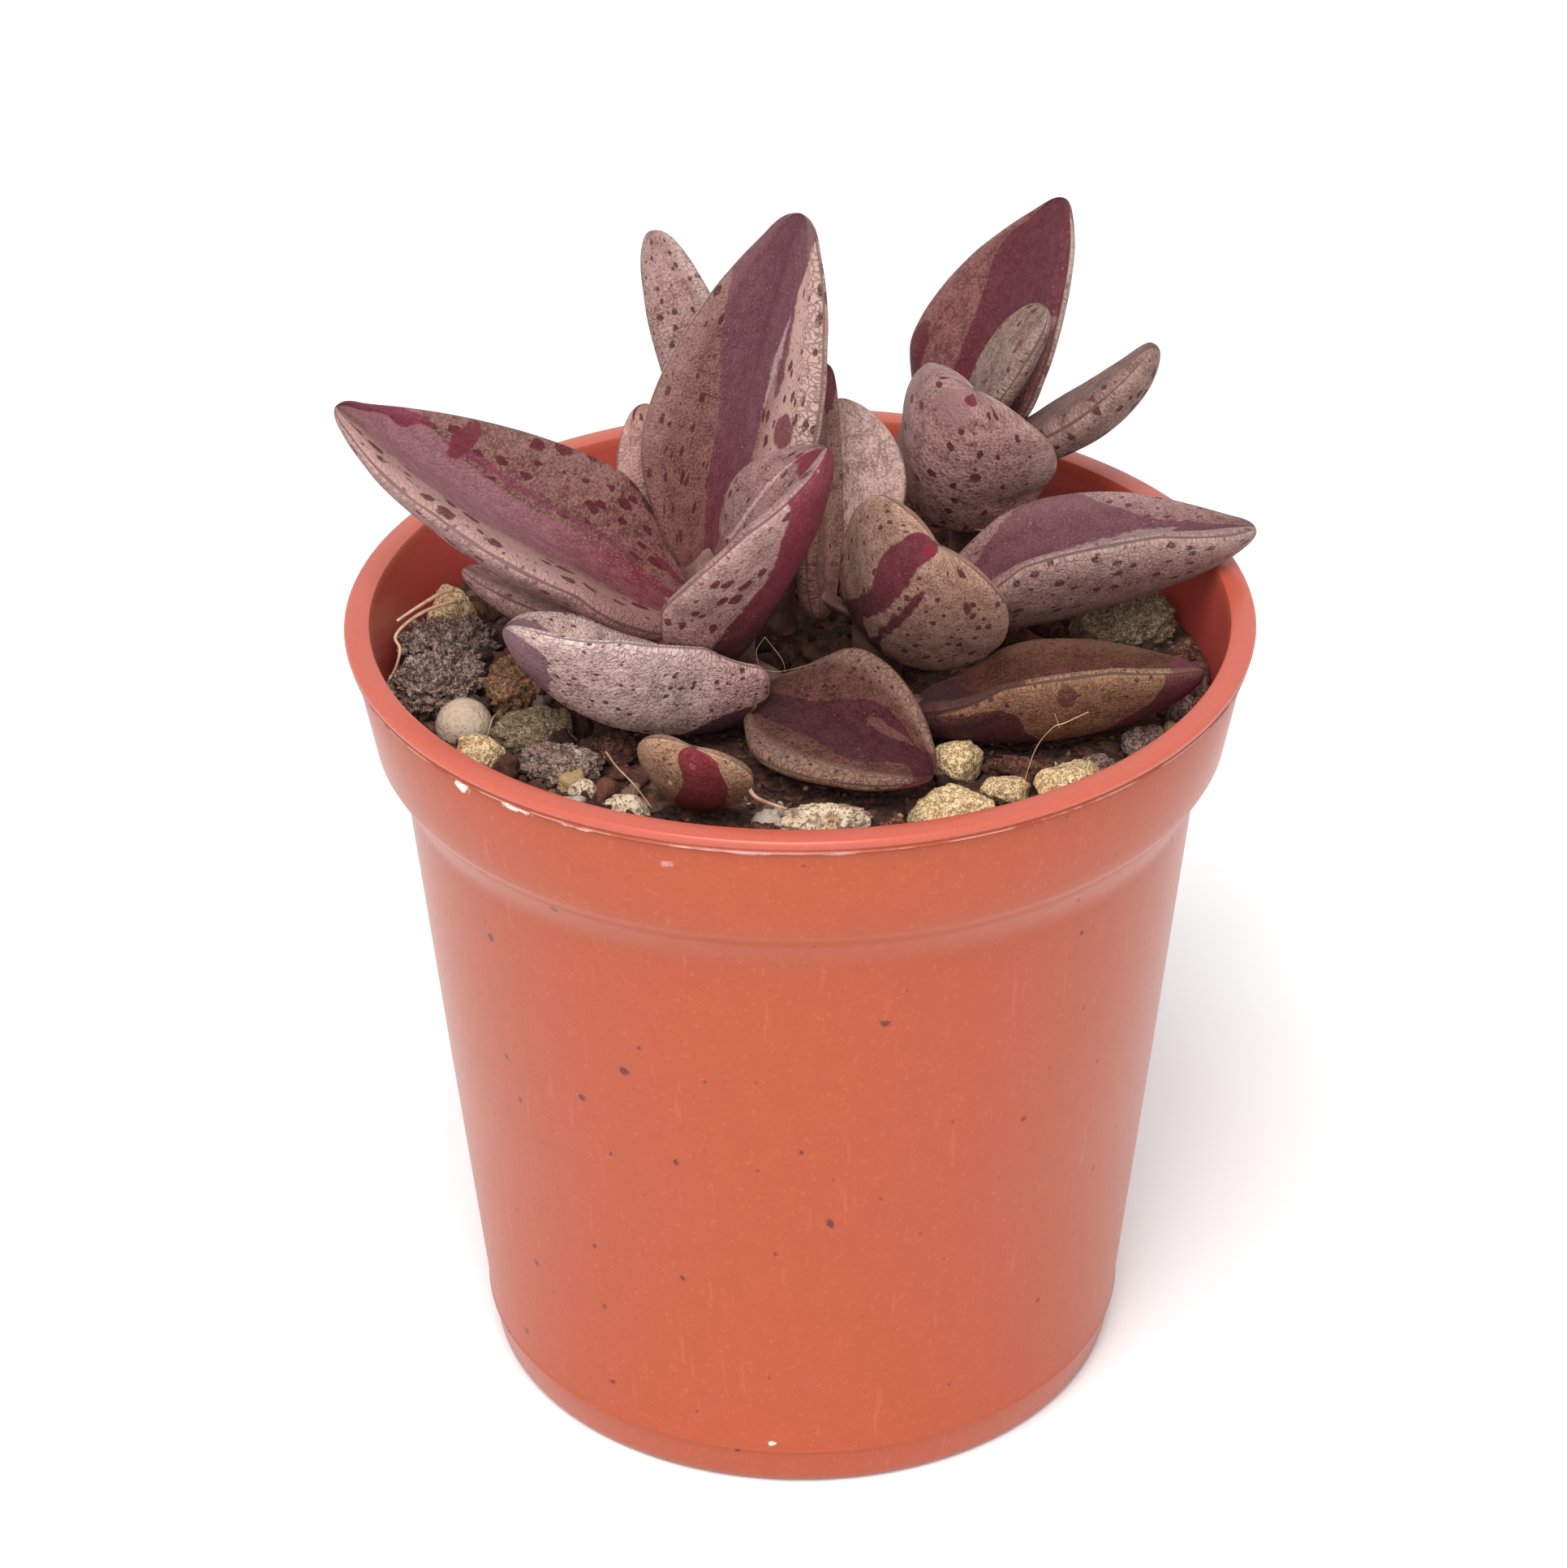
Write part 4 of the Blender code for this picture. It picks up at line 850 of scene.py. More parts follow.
            bands=[((92, 54, 62), (104, 62, 71), [(0, -0.3, 0.4), (0.15, -0.5, 0.4), (0.3, -0.9, 0.4), (0.5, -1.05, 0.4),
                                                   (0.62, -0.84, 0.4), (0.75, -0.62, 0.4), (0.9, -0.5, 0.4), (1, -0.3, 0.3)]),
                   ((146, 120, 118), (146, 120, 118), [(0, -0.1, -0.3), (0.38, -0.26, -0.3), (0.45, -0.4, -0.28), (0.6, -0.48, -0.34),
                                                        (0.75, -0.5, -0.42), (0.85, -0.4, -0.5), (1, -0.3, -0.4)])]),
        "lower": dict(
            light=0.68, skin=(168, 140, 132), crackle=0.6, spots=(0.72, 1.7, 0.62, 0.3, (72, 34, 34)),
            bands=[((120, 86, 78), (140, 108, 102), [(0, -0.5, 0.5), (0.3, -0.4, 0.4), (0.7, -0.4, 0.4), (1, -0.5, 0.5)])]),
    },
    "leaf_right_low": {
        "upper": dict(
            light=0.38, skin=(124, 90, 66), crackle=0.8, pale=(1, 0.8), spots=(0.55, 1.5, 0.5, 0.22, (66, 32, 34)),
            bands=[(DARK, DARK, [(0, -1.2, 1.2), (0.1, -0.9, 1.2), (0.2, -0.3, 1.2), (0.3, 0.2, 1.2), (0.36, 0.7, 1.2), (0.4, 1.1, 1.0), (1, 1.2, 0.6)]),
                   ((98, 40, 50), (98, 40, 50), [(0, 0.4, -0.4), (0.86, 0.2, 0.0), (0.92, -0.7, 1.2), (1, -1.2, 1.2)])],
            blotches=[((98, 48, 50), 0.52, -0.42, 0.04, 0.16)]),
        "lower": dict(
            light=0.78, skin=(140, 106, 80), crackle=0.4, spots=(0.6, 1.5, 0.45, 0.22, DARK),
            bands=[((48, 16, 22), (84, 26, 38), [(0, -0.7, 1.2), (0.1, -0.7, 1.0), (0.2, -0.7, 0.93), (0.28, -0.7, 0.86), (0.34, -0.7, 0.7), (0.39, -0.7, 0.34),
                                             (0.45, -0.7, 0.1), (0.6, -0.7, 0.1), (0.7, -0.7, 0.34), (0.78, -0.7, 0.5), (0.85, -0.7, 0.84), (0.92, -1.0, 1.2), (1, -1.2, 1.2)])],
            blotches=[((98, 50, 52), 0.52, 0.86, 0.035, 0.14)]),
    },
    "leaf_back_upright": {
        "upper": dict(
            light=0.62, skin=(148, 107, 102), crackle=0.15, spots=(0.7, 1.8, 0.42, 0.22, WINE),
            bands=[((98, 20, 34), (90, 32, 44), [(0, -0.2, 0.5), (0.2, -0.25, 0.5), (0.3, -0.33, 0.5), (0.45, -0.38, 0.55), (0.6, -0.46, 0.7), (0.7, -0.6, 1.2), (0.8, -0.76, 1.2), (0.9, -0.72, 1.2), (1, -0.9, 1.2)])],
            blotches=[((92, 30, 42), 0.3, -0.86, 0.1, 0.12)]),
        "lower": dict(skin=(168, 138, 130), crackle=0.3, spots=(0.8, 1.8, 0.5, 0.3, WINE), bands=[(WINE, PLUM, [(0, -0.3, 0.3), (0.6, -0.15, 0.2), (1, -1.2, 1.2)])]),
    },
    "leaf_back_front": {
        "upper": dict(skin=PALE, crackle=0.3, spots=(0.9, 1.8, 0.4, 0.3, WINE), bands=[(WINE, PLUM, [(0, -0.4, 0.4), (1, -0.4, 0.4)])]),
        "lower": dict(
            light=0.76, skin=(180, 148, 142), crackle=0.2, spots=(0.85, 1.6, 0.4, 0.26, (84, 24, 30)),
            bands=[((138, 106, 102), (150, 118, 114), [(0, 0.3, 1.2), (0.5, 0.5, 1.2), (0.8, 0.8, 1.2), (1, 0.9, 1.2)])],
            blotches=[((158, 116, 114), 0.9, 0.12, 0.1, 0.3), ((112, 34, 50), 0.97, -0.1, 0.022, 0.14), ((98, 30, 38), 0.63, 0.65, 0.025, 0.05), ((98, 30, 38), 0.73, 0.44, 0.02, 0.06),
                      ((98, 30, 38), 0.47, 0.55, 0.02, 0.05), ((98, 30, 38), 0.55, -0.26, 0.035, 0.045), ((98, 30, 38), 0.9, 0.56, 0.018, 0.08)]),
    },
    "leaf_back_young_left": {
        "upper": dict(light=0.76, skin=GREENISH, crackle=0.15, spots=(0.8, 1.3, 0.4, 0.3, (78, 34, 36)), blotches=[(WINE, 0.77, 0.6, 0.022, 0.12)]),
        "lower": dict(light=0.76, skin=GREENISH, crackle=0.1, spots=(0.8, 1.3, 0.4, 0.3, (78, 34, 36)), bands=[((140, 110, 100), (140, 110, 100), [(0, -0.3, 0.3), (1, -0.2, 0.2)])]),
    },
    "leaf_back_young_right": {
        "upper": dict(light=0.7, skin=(148, 124, 113), crackle=0.1, spots=(0.75, 1.4, 0.5, 0.3, (78, 34, 36)), bands=[((112, 84, 76), (124, 98, 88), [(0, -0.8, -0.05), (0.4, -0.7, -0.1), (0.6, -0.5, -0.3), (1, -0.3, -0.4)])]),
        "lower": dict(light=0.74, skin=(156, 134, 122), crackle=0.1, spots=(0.8, 1.4, 0.66, 0.38, (78, 34, 36))),
    },
    "leaf_left_back_tall": {
        "upper": dict(light=0.62, skin=(170, 146, 138), crackle=0.4, spots=(0.6, 1.5, 0.5, 0.26, DARK)),
        "lower": dict(light=0.68, skin=(180, 156, 148), crackle=0.75, spots=(0.6, 1.5, 0.6, 0.27, (74, 42, 42))),
    },
    "leaf_left_back_low": {
        "upper": dict(skin=(172, 134, 124), crackle=0.2, spots=(0.8, 2.2, 0.55, 0.32, (96, 40, 46))),
        "lower": dict(skin=(140, 104, 108), crackle=0.3, spots=(0.8, 1.8, 0.4, 0.3, WINE)),
    },
    "leaf_middle_narrow": {
        "upper": dict(skin=(130, 98, 86), crackle=0.2, spots=(0.7, 1.5, 0.4, 0.24, WINE), bands=[(WINE, (100, 46, 52), [(0, 0.3, -0.3), (0.74, 0.2, -0.2), (0.84, -0.5, 0.5), (1, -1.2, 1.2)])]),
        "lower": dict(skin=(126, 96, 86), crackle=0.2, spots=(0.7, 1.5, 0.4, 0.24, WINE), bands=[((104, 44, 50), (104, 44, 50), [(0, 0.3, -0.3), (0.8, 0.2, -0.2), (0.9, -0.8, 0.8), (1, -1.2, 1.2)])]),
    },
    "leaf_middle_back": {
        "upper": dict(skin=(180, 150, 142), crackle=0.2, spots=(0.9, 2.6, 0.35, 0.22, (138, 100, 94))),
        "lower": dict(skin=PALE, crackle=0.3, spots=(0.8, 1.8, 0.4, 0.28, WINE)),
    },
}
print("looks:", len(LEAF_LOOKS))

# %% [markdown]
# One function turns a look into nodes. It builds the marks of the upper and of the lower face, and joins the
# two at the margin. The shares along and across are read from the mesh, with a little noise added so that
# no edge is a clean curve. The bump follows the same masks: cracks sink, the skin is finely grained.

# %% Leaf finish


def edge_curve(tree, along, edges, which):
    """A float curve that carries one edge of a band along the leaf, scaled from -1.2..1.2 to 0..1."""
    made = put(tree, "ShaderNodeFloatCurve", {"Value": along})
    line = made.mapping.curves[0]
    spots = [(edge[0], (edge[which] + 1.2) / 2.4) for edge in edges]
    line.points[0].location = spots[0]
    line.points[1].location = spots[-1]
    for spot in spots[1:-1]:
        line.points.new(*spot)
    made.mapping.update()
    return made.outputs[0]


def face_colour(tree, look, reads):
    """The colour of one face of a leaf, and the height of its skin."""
    along, across, wobble, skin = reads
    grain = use_group(tree, GRAIN, {"Place": skin, "Grain": 0.24})
    fine = use_group(tree, GRAIN, {"Place": skin, "Grain": 0.15})
    # painted shade: a light below 1 darkens the whole face and deepens its colour, for a face that lies in shade
    painted_shade_factor = look.get("light", 1.0)
    full = colour(*look["skin"])
    base = (full[0] * painted_shade_factor, full[1] * painted_shade_factor**1.5, full[2] * painted_shade_factor**1.5)
    light = tuple(min(1.0, v * 1.28) for v in base) + (1.0,)
    dim = tuple(v * share for v, share in zip(base, (0.72, 0.64, 0.62))) + (1.0,)
    bloom = tuple(min(1.0, v * 1.7 + 0.015) for v in base) + (1.0,)
    deep = tuple(v * share for v, share in zip(base, (0.42, 0.34, 0.34))) + (1.0,)
    shade = tint(tree, ease(tree, grain["Mottle"], 0.34, 0.66), dim, light)
    shade = tint(tree, calc(tree, "MULTIPLY", ease(tree, fine["Height"], 0.48, 0.6), 0.62), shade, bloom)
    shade = tint(tree, calc(tree, "MULTIPLY", ease(tree, fine["Height"], 0.48, 0.36), 0.6), shade, deep)
    shade = tint(tree, calc(tree, "MULTIPLY", grain["Speckle"], 0.3), shade, deep)
    crust = tuple(min(0.85, v * 1.55 + 0.03) for v in full[:3]) + (1.0,)
    if "pale" in look:
        side, share = look["pale"]
        reach = ease(tree, calc(tree, "MULTIPLY", across, side), 0.25, 0.75)
        shade = tint(tree, calc(tree, "MULTIPLY", reach, share), shade, crust)
    scaled = calc(tree, "DIVIDE", calc(tree, "ADD", across, 1.2), 2.4)
    scaled = calc(tree, "ADD", scaled, calc(tree, "MULTIPLY", wobble, 0.055))
    covered = None
    for foot_tone, tip_tone, edges in look.get("bands", []):
        reach = {
            "Across": scaled, "Low Edge": edge_curve(tree, along, edges, 1), "High Edge": edge_curve(tree, along, edges, 2),
            "Softness": 0.006,
        }
        band = use_group(tree, BAND, reach)["Mask"]
        tone = tint(tree, ease(tree, along, 0.1, 0.6), colour(*foot_tone), colour(*tip_tone))
        bright = tuple(min(1.0, v * 1.7 + 0.03) for v in colour(*tip_tone)[:3]) + (1.0,)
        deep = tuple(v * 0.6 for v in colour(*tip_tone)[:3]) + (1.0,)
        tone = tint(tree, calc(tree, "MULTIPLY", ease(tree, fine["Height"], 0.5, 0.62), 0.42), tone, bright)
        tone = tint(tree, calc(tree, "MULTIPLY", ease(tree, fine["Height"], 0.5, 0.38), 0.45), tone, deep)
        tone = tint(tree, calc(tree, "MULTIPLY", ease(tree, grain["Mottle"], 0.4, 0.66), 0.2), tone, bright)
        shade = tint(tree, calc(tree, "MULTIPLY", band, 0.95), shade, tone)
        covered = band if covered is None else calc(tree, "MAXIMUM", covered, band)
    cell, stretch, share, size, tone = look["spots"]
    spots = use_group(tree, SPOTS, {"Place": skin, "Cell": cell, "Stretch": stretch, "Share": share, "Size": size})["Mask"]
    small = use_group(tree, SPOTS, {"Place": skin, "Cell": 0.5 * cell, "Stretch": 1.5, "Share": 0.45, "Size": 0.24})["Mask"]
    spots = calc(tree, "MAXIMUM", spots, calc(tree, "MULTIPLY", small, 0.7))
    if "spots_beyond" in look:
        outer = ease(tree, calc(tree, "ABSOLUTE", across), look["spots_beyond"] - 0.08, look["spots_beyond"] + 0.08)
        spots = calc(tree, "MULTIPLY", spots, outer)
    if covered is not None:
        spots = calc(tree, "MULTIPLY", spots, calc(tree, "SUBTRACT", 1.0, calc(tree, "MULTIPLY", covered, 0.9)))
    margin = ease(tree, calc(tree, "ADD", calc(tree, "ABSOLUTE", across), calc(tree, "MULTIPLY", wobble, 0.16)), 0.7, 0.92)
    cracks = use_group(tree, CRACKLE, {"Place": skin, "Cell": 0.44})
    dried = calc(tree, "MULTIPLY", margin, look["crackle"])
    if "pale" in look:
        dried = calc(tree, "MULTIPLY", dried, ease(tree, calc(tree, "MULTIPLY", across, side), -0.2, 0.2, 0.3, 1.0))
    if covered is not None:
        dried = calc(tree, "MULTIPLY", dried, calc(tree, "SUBTRACT", 1.0, calc(tree, "MULTIPLY", covered, 0.75)))
    shade = tint(tree, calc(tree, "MULTIPLY", dried, 0.62), shade, crust)
    shade = tint(tree, calc(tree, "MULTIPLY", spots, 0.9), shade, colour(*tone))
    for tone, u, v, reach_u, reach_v in look.get("blotches", []):
        patch = {
            "Along": along, "Across": across, "Along Centre": u, "Across Centre": v, "Along Reach": reach_u,
            "Across Reach": reach_v, "Wobble": calc(tree, "MULTIPLY", wobble, 0.9),
        }
        patch = use_group(tree, BLOTCH, patch)["Mask"]
        shade = tint(tree, calc(tree, "MULTIPLY", patch, 0.9), shade, colour(*tone))
    reach = calc(tree, "ADD", dried, 0.12 * look["crackle"])
    lines = calc(tree, "MULTIPLY", cracks["Lines"], reach)
    crack = tuple(0.5 * (a + b) for a, b in zip(dim, crust))
    shade = tint(tree, calc(tree, "MULTIPLY", lines, 0.8), shade, crack)
    dust = use_group(tree, SPOTS, {"Place": skin, "Cell": 0.62, "Stretch": 1.0, "Share": 0.25, "Size": 0.11})["Mask"]
    shade = tint(tree, calc(tree, "MULTIPLY", dust, 0.35), shade, crust)
    # painted shade: each face is multiplied darker and redder toward its foot, where it sits in the shade between the
    # leaves
    shade = tint(tree, ease(tree, along, 0.0, 0.5, look.get("shade", 0.55), 0.0), shade, colour(206, 150, 148), "MULTIPLY")
    height = calc(tree, "SUBTRACT", grain["Height"], calc(tree, "MULTIPLY", lines, 0.9))
    height = calc(tree, "ADD", height, calc(tree, "MULTIPLY", fine["Height"], 0.6))
    return shade, height


def leaf_material(name, look):
    material, tree, surface = new_material(name + " skin", 0.55)
    shares = put(tree, "ShaderNodeAttribute", attribute_name="shares").outputs["Vector"]
    skin = put(tree, "ShaderNodeAttribute", attribute_name="skin").outputs["Vector"]
    parts = put(tree, "ShaderNodeSeparateXYZ", {0: shares}).outputs
    wide = put(tree, "ShaderNodeTexNoise", {"Vector": skin, "Scale": 1.1, "Detail": 5.0, "Roughness": 0.72}).outputs[0]
    wobble = calc(tree, "SUBTRACT", wide, 0.5)
    along = calc(tree, "ADD", parts[0], calc(tree, "MULTIPLY", wobble, 0.02))
    reads = (along, parts[1], wobble, skin)
    upper_shade, upper_height = face_colour(tree, look["upper"], reads)
    lower_shade, lower_height = face_colour(tree, look["lower"], reads)
    side = ease(tree, parts[2], 0.3, 0.7)
    tree.links.new(tint(tree, side, lower_shade, upper_shade), surface.inputs["Base Color"])
    height = calc(
        tree, "ADD", calc(tree, "MULTIPLY", upper_height, side), calc(tree, "MULTIPLY", lower_height, calc(tree, "SUBTRACT", 1.0, side))
    )
    bump = put(tree, "ShaderNodeBump", {"Height": height, "Strength": 0.8, "Distance": 0.00025}).outputs[0]
    tree.links.new(bump, surface.inputs["Normal"])
    tree.links.new(calc(tree, "ADD", 0.46, calc(tree, "MULTIPLY", height, 0.2)), surface.inputs["Roughness"])
    surface.inputs["Specular IOR Level"].default_value = 0.16
    surface.inputs["Sheen Weight"].default_value = 0.03
    surface.inputs["Sheen Roughness"].default_value = 0.4
    return material


def grow_leaf(name, leaf, shoot):
    points, faces, shares, skin = leaf_surface(leaf)
    piece = lay_piece(name, points, faces, leaf_material(name, LEAF_LOOKS[name]), [shoot])
    store(piece, "shares", shares)
    store(piece, "skin", skin)
    return piece


for shoot_name, shoot in SHOOTS.items():
    for leaf_name, leaf in shoot["leaves"].items():
        grow_leaf(leaf_name, leaf, shoot_name)
    print(shoot_name, "has", len(shoot["leaves"]), "leaves")

# %% [markdown]
# ## Stems
# Each shoot stands on a short fleshy stem that the leaves clasp, hidden in the dark between them. A plain
# rod would do, but seen from the back the joint shows, so every leaf gets a flattened foot that grows out of
# the stem and into the leaf, and one brownish skin covers stem and feet.

# %% Stems
STEM_BURIED_TO = 40.0
SOIL_LEVEL = 45.8
STALK_WIDTH_SHARE = 0.78
STALK_THICKNESS_SHARE = 0.8
STALK_SINKS_IN = 0.1
STEM_SIDES = 28


def stem_material():
    material, tree, surface = new_material("stem skin", 0.6)
    spot = put(tree, "ShaderNodeTexCoord").outputs["Object"]
    place = put(tree, "ShaderNodeVectorMath", {0: spot, 1: (1000, 1000, 1000)}, operation="MULTIPLY").outputs[0]
    grain = use_group(tree, GRAIN, {"Place": place, "Grain": 0.3})
    shade = tint(tree, ease(tree, grain["Mottle"], 0.35, 0.65), colour(88, 52, 50), colour(128, 96, 82))
    shade = tint(tree, calc(tree, "MULTIPLY", grain["Speckle"], 0.5), shade, colour(70, 34, 38))
    tree.links.new(shade, surface.inputs["Base Color"])
    bump = put(tree, "ShaderNodeBump", {"Height": grain["Height"], "Strength": 0.6, "Distance": 0.0002}).outputs[0]
    tree.links.new(bump, surface.inputs["Normal"])
    return material


def rod_surface(sections, sides, points, faces):
    start = len(points)
    for centre, half_wide, half_thick in sections:
        for side in range(sides):
            angle = 2 * pi * side / sides
            points.append(centre + half_wide * cos(angle) + half_thick * sin(angle))
    faces += [tuple(start + corner for corner in face) for face in ring_faces(len(sections), sides)]
    faces.append(tuple(range(start, start + sides)))
    faces.append(tuple(range(len(points) - sides, len(points))))


def stem_sections(stem):
    x, y, top, radius = stem["x"], stem["y"], stem["top"], stem["radius"]
    sections = []
    for height, share in [(STEM_BURIED_TO, 1.0), (44.0, 1.0), (46.0, 1.0), (47.2, 0.97), (top - 0.9 * radius, 0.95),
                          (top - 0.6 * radius, 0.87), (top - 0.3 * radius, 0.7), (top - 0.1 * radius, 0.45), (top, 0.2)]:
        reach = radius * share
        sections.append((Vector((x, y, height)), Vector((reach, 0, 0)), Vector((0, reach, 0))))
    return sections


def stalk_sections(stem, leaf):
    inside, _, across, face = leaf_frame(leaf, STALK_SINKS_IN)
    half_wide = STALK_WIDTH_SHARE * leaf_half_width(leaf, STALK_SINKS_IN)[0] * across
    half_thick = STALK_THICKNESS_SHARE * leaf["thick"] / 2 * face
    height = min(max(leaf["foot"][2] - 0.6, SOIL_LEVEL + 1.2), stem["top"] - 0.8)
    start = Vector((stem["x"], stem["y"], height))
    sections = []
    for step in range(7):
        share = step / 6
        wide = 0.6 + 0.4 * sin(pi / 2 * min(1.0, share / 0.8))
        sections.append((start.lerp(inside, share), half_wide * wide, half_thick * (0.9 + 0.1 * share)))
    return sections


def make_stems():
    skin = stem_material()
    for name, shoot in SHOOTS.items():
        points, faces = [], []
        rod_surface(stem_sections(shoot["stem"]), STEM_SIDES, points, faces)
        for leaf in shoot["leaves"].values():
            rod_surface(stalk_sections(shoot["stem"], leaf), STEM_SIDES, points, faces)
        lay_piece(name.replace("shoot", "stem"), points, faces, skin, [name], sharp=50)


make_stems()
print("stems:", len(SHOOTS))

# %% [markdown]
# ## Soil
# The pot holds a dark peaty mix with lumps, red-brown bark and grit. One displaced disc would look like
# fabric, so the ground is a closed body with beds for the stones and holes for the stems, and several
# hundred loose crumbs lie on it. Their places come from a seeded draw, so that they never change.

# %% Soil ground
STONES = {
    "clay_prill": dict(at=(-20.2, -5.3), half=(1.75, 1.75, 1.7), turn=0, rugged=0.05, kind="clay"),
    "pumice_left": dict(at=(-19.1, -9.3), half=(1.9, 1.4, 1.3), turn=-30, rugged=0.5, kind="pumice"),
    "pumice_green": dict(at=(-15.9, -6.7), half=(2.4, 1.65, 1.6), turn=10, rugged=0.5, kind="grey_green_pumice"),
    "lava_left": dict(at=(-21.9, -1.7), half=(3.0, 2.2, 2.6), turn=20, rugged=0.8, kind="lava"),
    "lava_upper": dict(at=(-21.6, 3.9), half=(3.1, 2.1, 2.1), turn=15, rugged=0.8, kind="lava"),
    "lava_wall": dict(at=(-23.8, 1.3), half=(0.85, 0.75, 0.85), turn=0, rugged=0.8, kind="lava"),
    "lava_brown": dict(at=(-17.4, -2.0), half=(1.8, 1.8, 2.2), turn=40, rugged=0.7, kind="brown_lava"),
    "pumice_pointed": dict(at=(-21.4, 8.2), half=(1.8, 1.4, 2.3), turn=0, rugged=0.7, kind="pumice"),
    "gravel_left": dict(at=(-14.4, -10.6), half=(2.7, 1.6, 1.6), turn=-20, rugged=0.9, kind="gravel"),
    "bark_crumb_left": dict(at=(-11.0, -8.6), half=(1.8, 1.3, 1.2), turn=25, rugged=0.9, kind="bark"),
    "quartz_crumb": dict(at=(-12.8, -13.6), half=(0.9, 0.8, 1.0), turn=0, rugged=0.7, kind="pale_gravel"),
    "pebble_cream": dict(at=(-10.2, -15.3), half=(1.4, 1.05, 0.9), turn=-15, rugged=0.4, kind="pale_gravel"),
    "pumice_sliver": dict(at=(-6.2, -20.0), half=(1.8, 0.8, 0.7), turn=-10, rugged=0.5, kind="pumice"),
    "bark_front": dict(at=(-2.5, -18.6), half=(1.4, 1.0, 0.8), turn=30, rugged=0.9, kind="bark"),
    "gravel_cream": dict(at=(1.4, -17.1), half=(3.0, 1.6, 1.25), turn=5, rugged=0.8, kind="pale_gravel"),
    "bark_mid": dict(at=(5.3, -17.8), half=(0.95, 0.8, 0.9), turn=0, rugged=0.9, kind="bark"),
    "pumice_big": dict(at=(8.8, -16.0), half=(3.1, 2.1, 1.6), turn=-15, rugged=0.6, kind="pumice"),
    "pumice_middle": dict(at=(9.2, -10.6), half=(1.6, 1.4, 1.75), turn=30, rugged=0.6, kind="pumice"),
    "bark_strip": dict(at=(12.8, -11.0), half=(2.2, 0.7, 0.7), turn=-10, rugged=0.7, kind="bark"),
    "pumice_right_a": dict(at=(12.0, -13.5), half=(1.6, 1.25, 1.1), turn=20, rugged=0.6, kind="pumice"),
    "pumice_right_b": dict(at=(15.6, -13.0), half=(2.2, 1.6, 1.5), turn=35, rugged=0.6, kind="pumice"),
    "gravel_small": dict(at=(12.4, -16.6), half=(1.2, 0.8, 0.7), turn=0, rugged=0.7, kind="gravel"),
    "pumice_low": dict(at=(5.2, -20.4), half=(1.3, 0.7, 0.6), turn=5, rugged=0.5, kind="pumice"),
    "gravel_right_a": dict(at=(20.3, -8.2), half=(1.7, 1.2, 1.0), turn=40, rugged=0.8, kind="gravel"),
    "gravel_right_b": dict(at=(22.9, -4.6), half=(1.2, 1.0, 1.2), turn=60, rugged=0.8, kind="gravel"),
    "gravel_right_c": dict(at=(17.5, -10.6), half=(1.1, 0.9, 0.8), turn=0, rugged=0.8, kind="gravel"),
    "pumice_pitted": dict(at=(20.2, 5.9), half=(3.2, 2.2, 2.3), turn=10, rugged=0.6, kind="grey_green_pumice"),
    "bark_right": dict(at=(15.3, 6.8), half=(1.6, 1.0, 0.8), turn=-30, rugged=0.9, kind="bark"),
    "bark_wall": dict(at=(23.4, 2.6), half=(0.9, 0.8, 0.8), turn=0, rugged=0.8, kind="bark"),
    "pumice_back": dict(at=(4.9, 19.6), half=(1.6, 1.2, 1.1), turn=15, rugged=0.6, kind="pumice"),
    "lava_back": dict(at=(-4.6, 19.0), half=(2.0, 1.5, 1.3), turn=-20, rugged=0.8, kind="lava"),
    "gravel_back": dict(at=(-14.3, 14.2), half=(1.8, 1.4, 1.1), turn=45, rugged=0.8, kind="gravel"),
    "pumice_back_left": dict(at=(-9.8, 19.8), half=(1.4, 1.1, 1.0), turn=0, rugged=0.6, kind="pumice"),
    "lava_back_right": dict(at=(17.6, 14.6), half=(1.6, 1.3, 1.2), turn=30, rugged=0.8, kind="lava"),
}
STONE_SINKS = 0.4
SOIL_RELIEF = 0.3
BED_SPREAD = 1.06
BED_GAP = 0.12
SOIL_EDGE = 24.95
SOIL_GRID = 128


def bare_soil_height(x, y):
    """Level of the soil before the stones press into it."""
    waves = 0.5 * sin(0.55 * x + 0.8) * cos(0.47 * y - 0.4)
    lumps = noise.noise(Vector((0.45 * x, 0.45 * y, 3.0)))
    return SOIL_LEVEL + SOIL_RELIEF * (waves + lumps)


def stone_centre(stone):
    x, y = stone["at"]
    return Vector((x, y, bare_soil_height(x, y) + stone["half"][2] * (1 - 2 * STONE_SINKS)))


STONE_CENTRES = {name: stone_centre(stone) for name, stone in STONES.items()}


def share_of_stone(stone, x, y):
    """How far a point is from the middle of a stone: 1 is at its outline, seen from above."""
    turn = radians(stone["turn"])
    across, away = x - stone["at"][0], y - stone["at"][1]
    along = across * cos(turn) + away * sin(turn)
    aside = away * cos(turn) - across * sin(turn)
    return hypot(along / stone["half"][0], aside / stone["half"][1])


def low_leaf_points():
    """Points of the leaves that lie close to the soil."""
    low = []
    for shoot in SHOOTS.values():
        for name in shoot["leaves"]:
            points = np.empty(3 * len(bpy.data.meshes[name].vertices))
            bpy.data.meshes[name].vertices.foreach_get("co", points)
            points = points.reshape(-1, 3) / MM
            low.append(points[points[:, 2] < SOIL_LEVEL + 2])
    return np.concatenate(low)


LOW_POINTS = low_leaf_points()


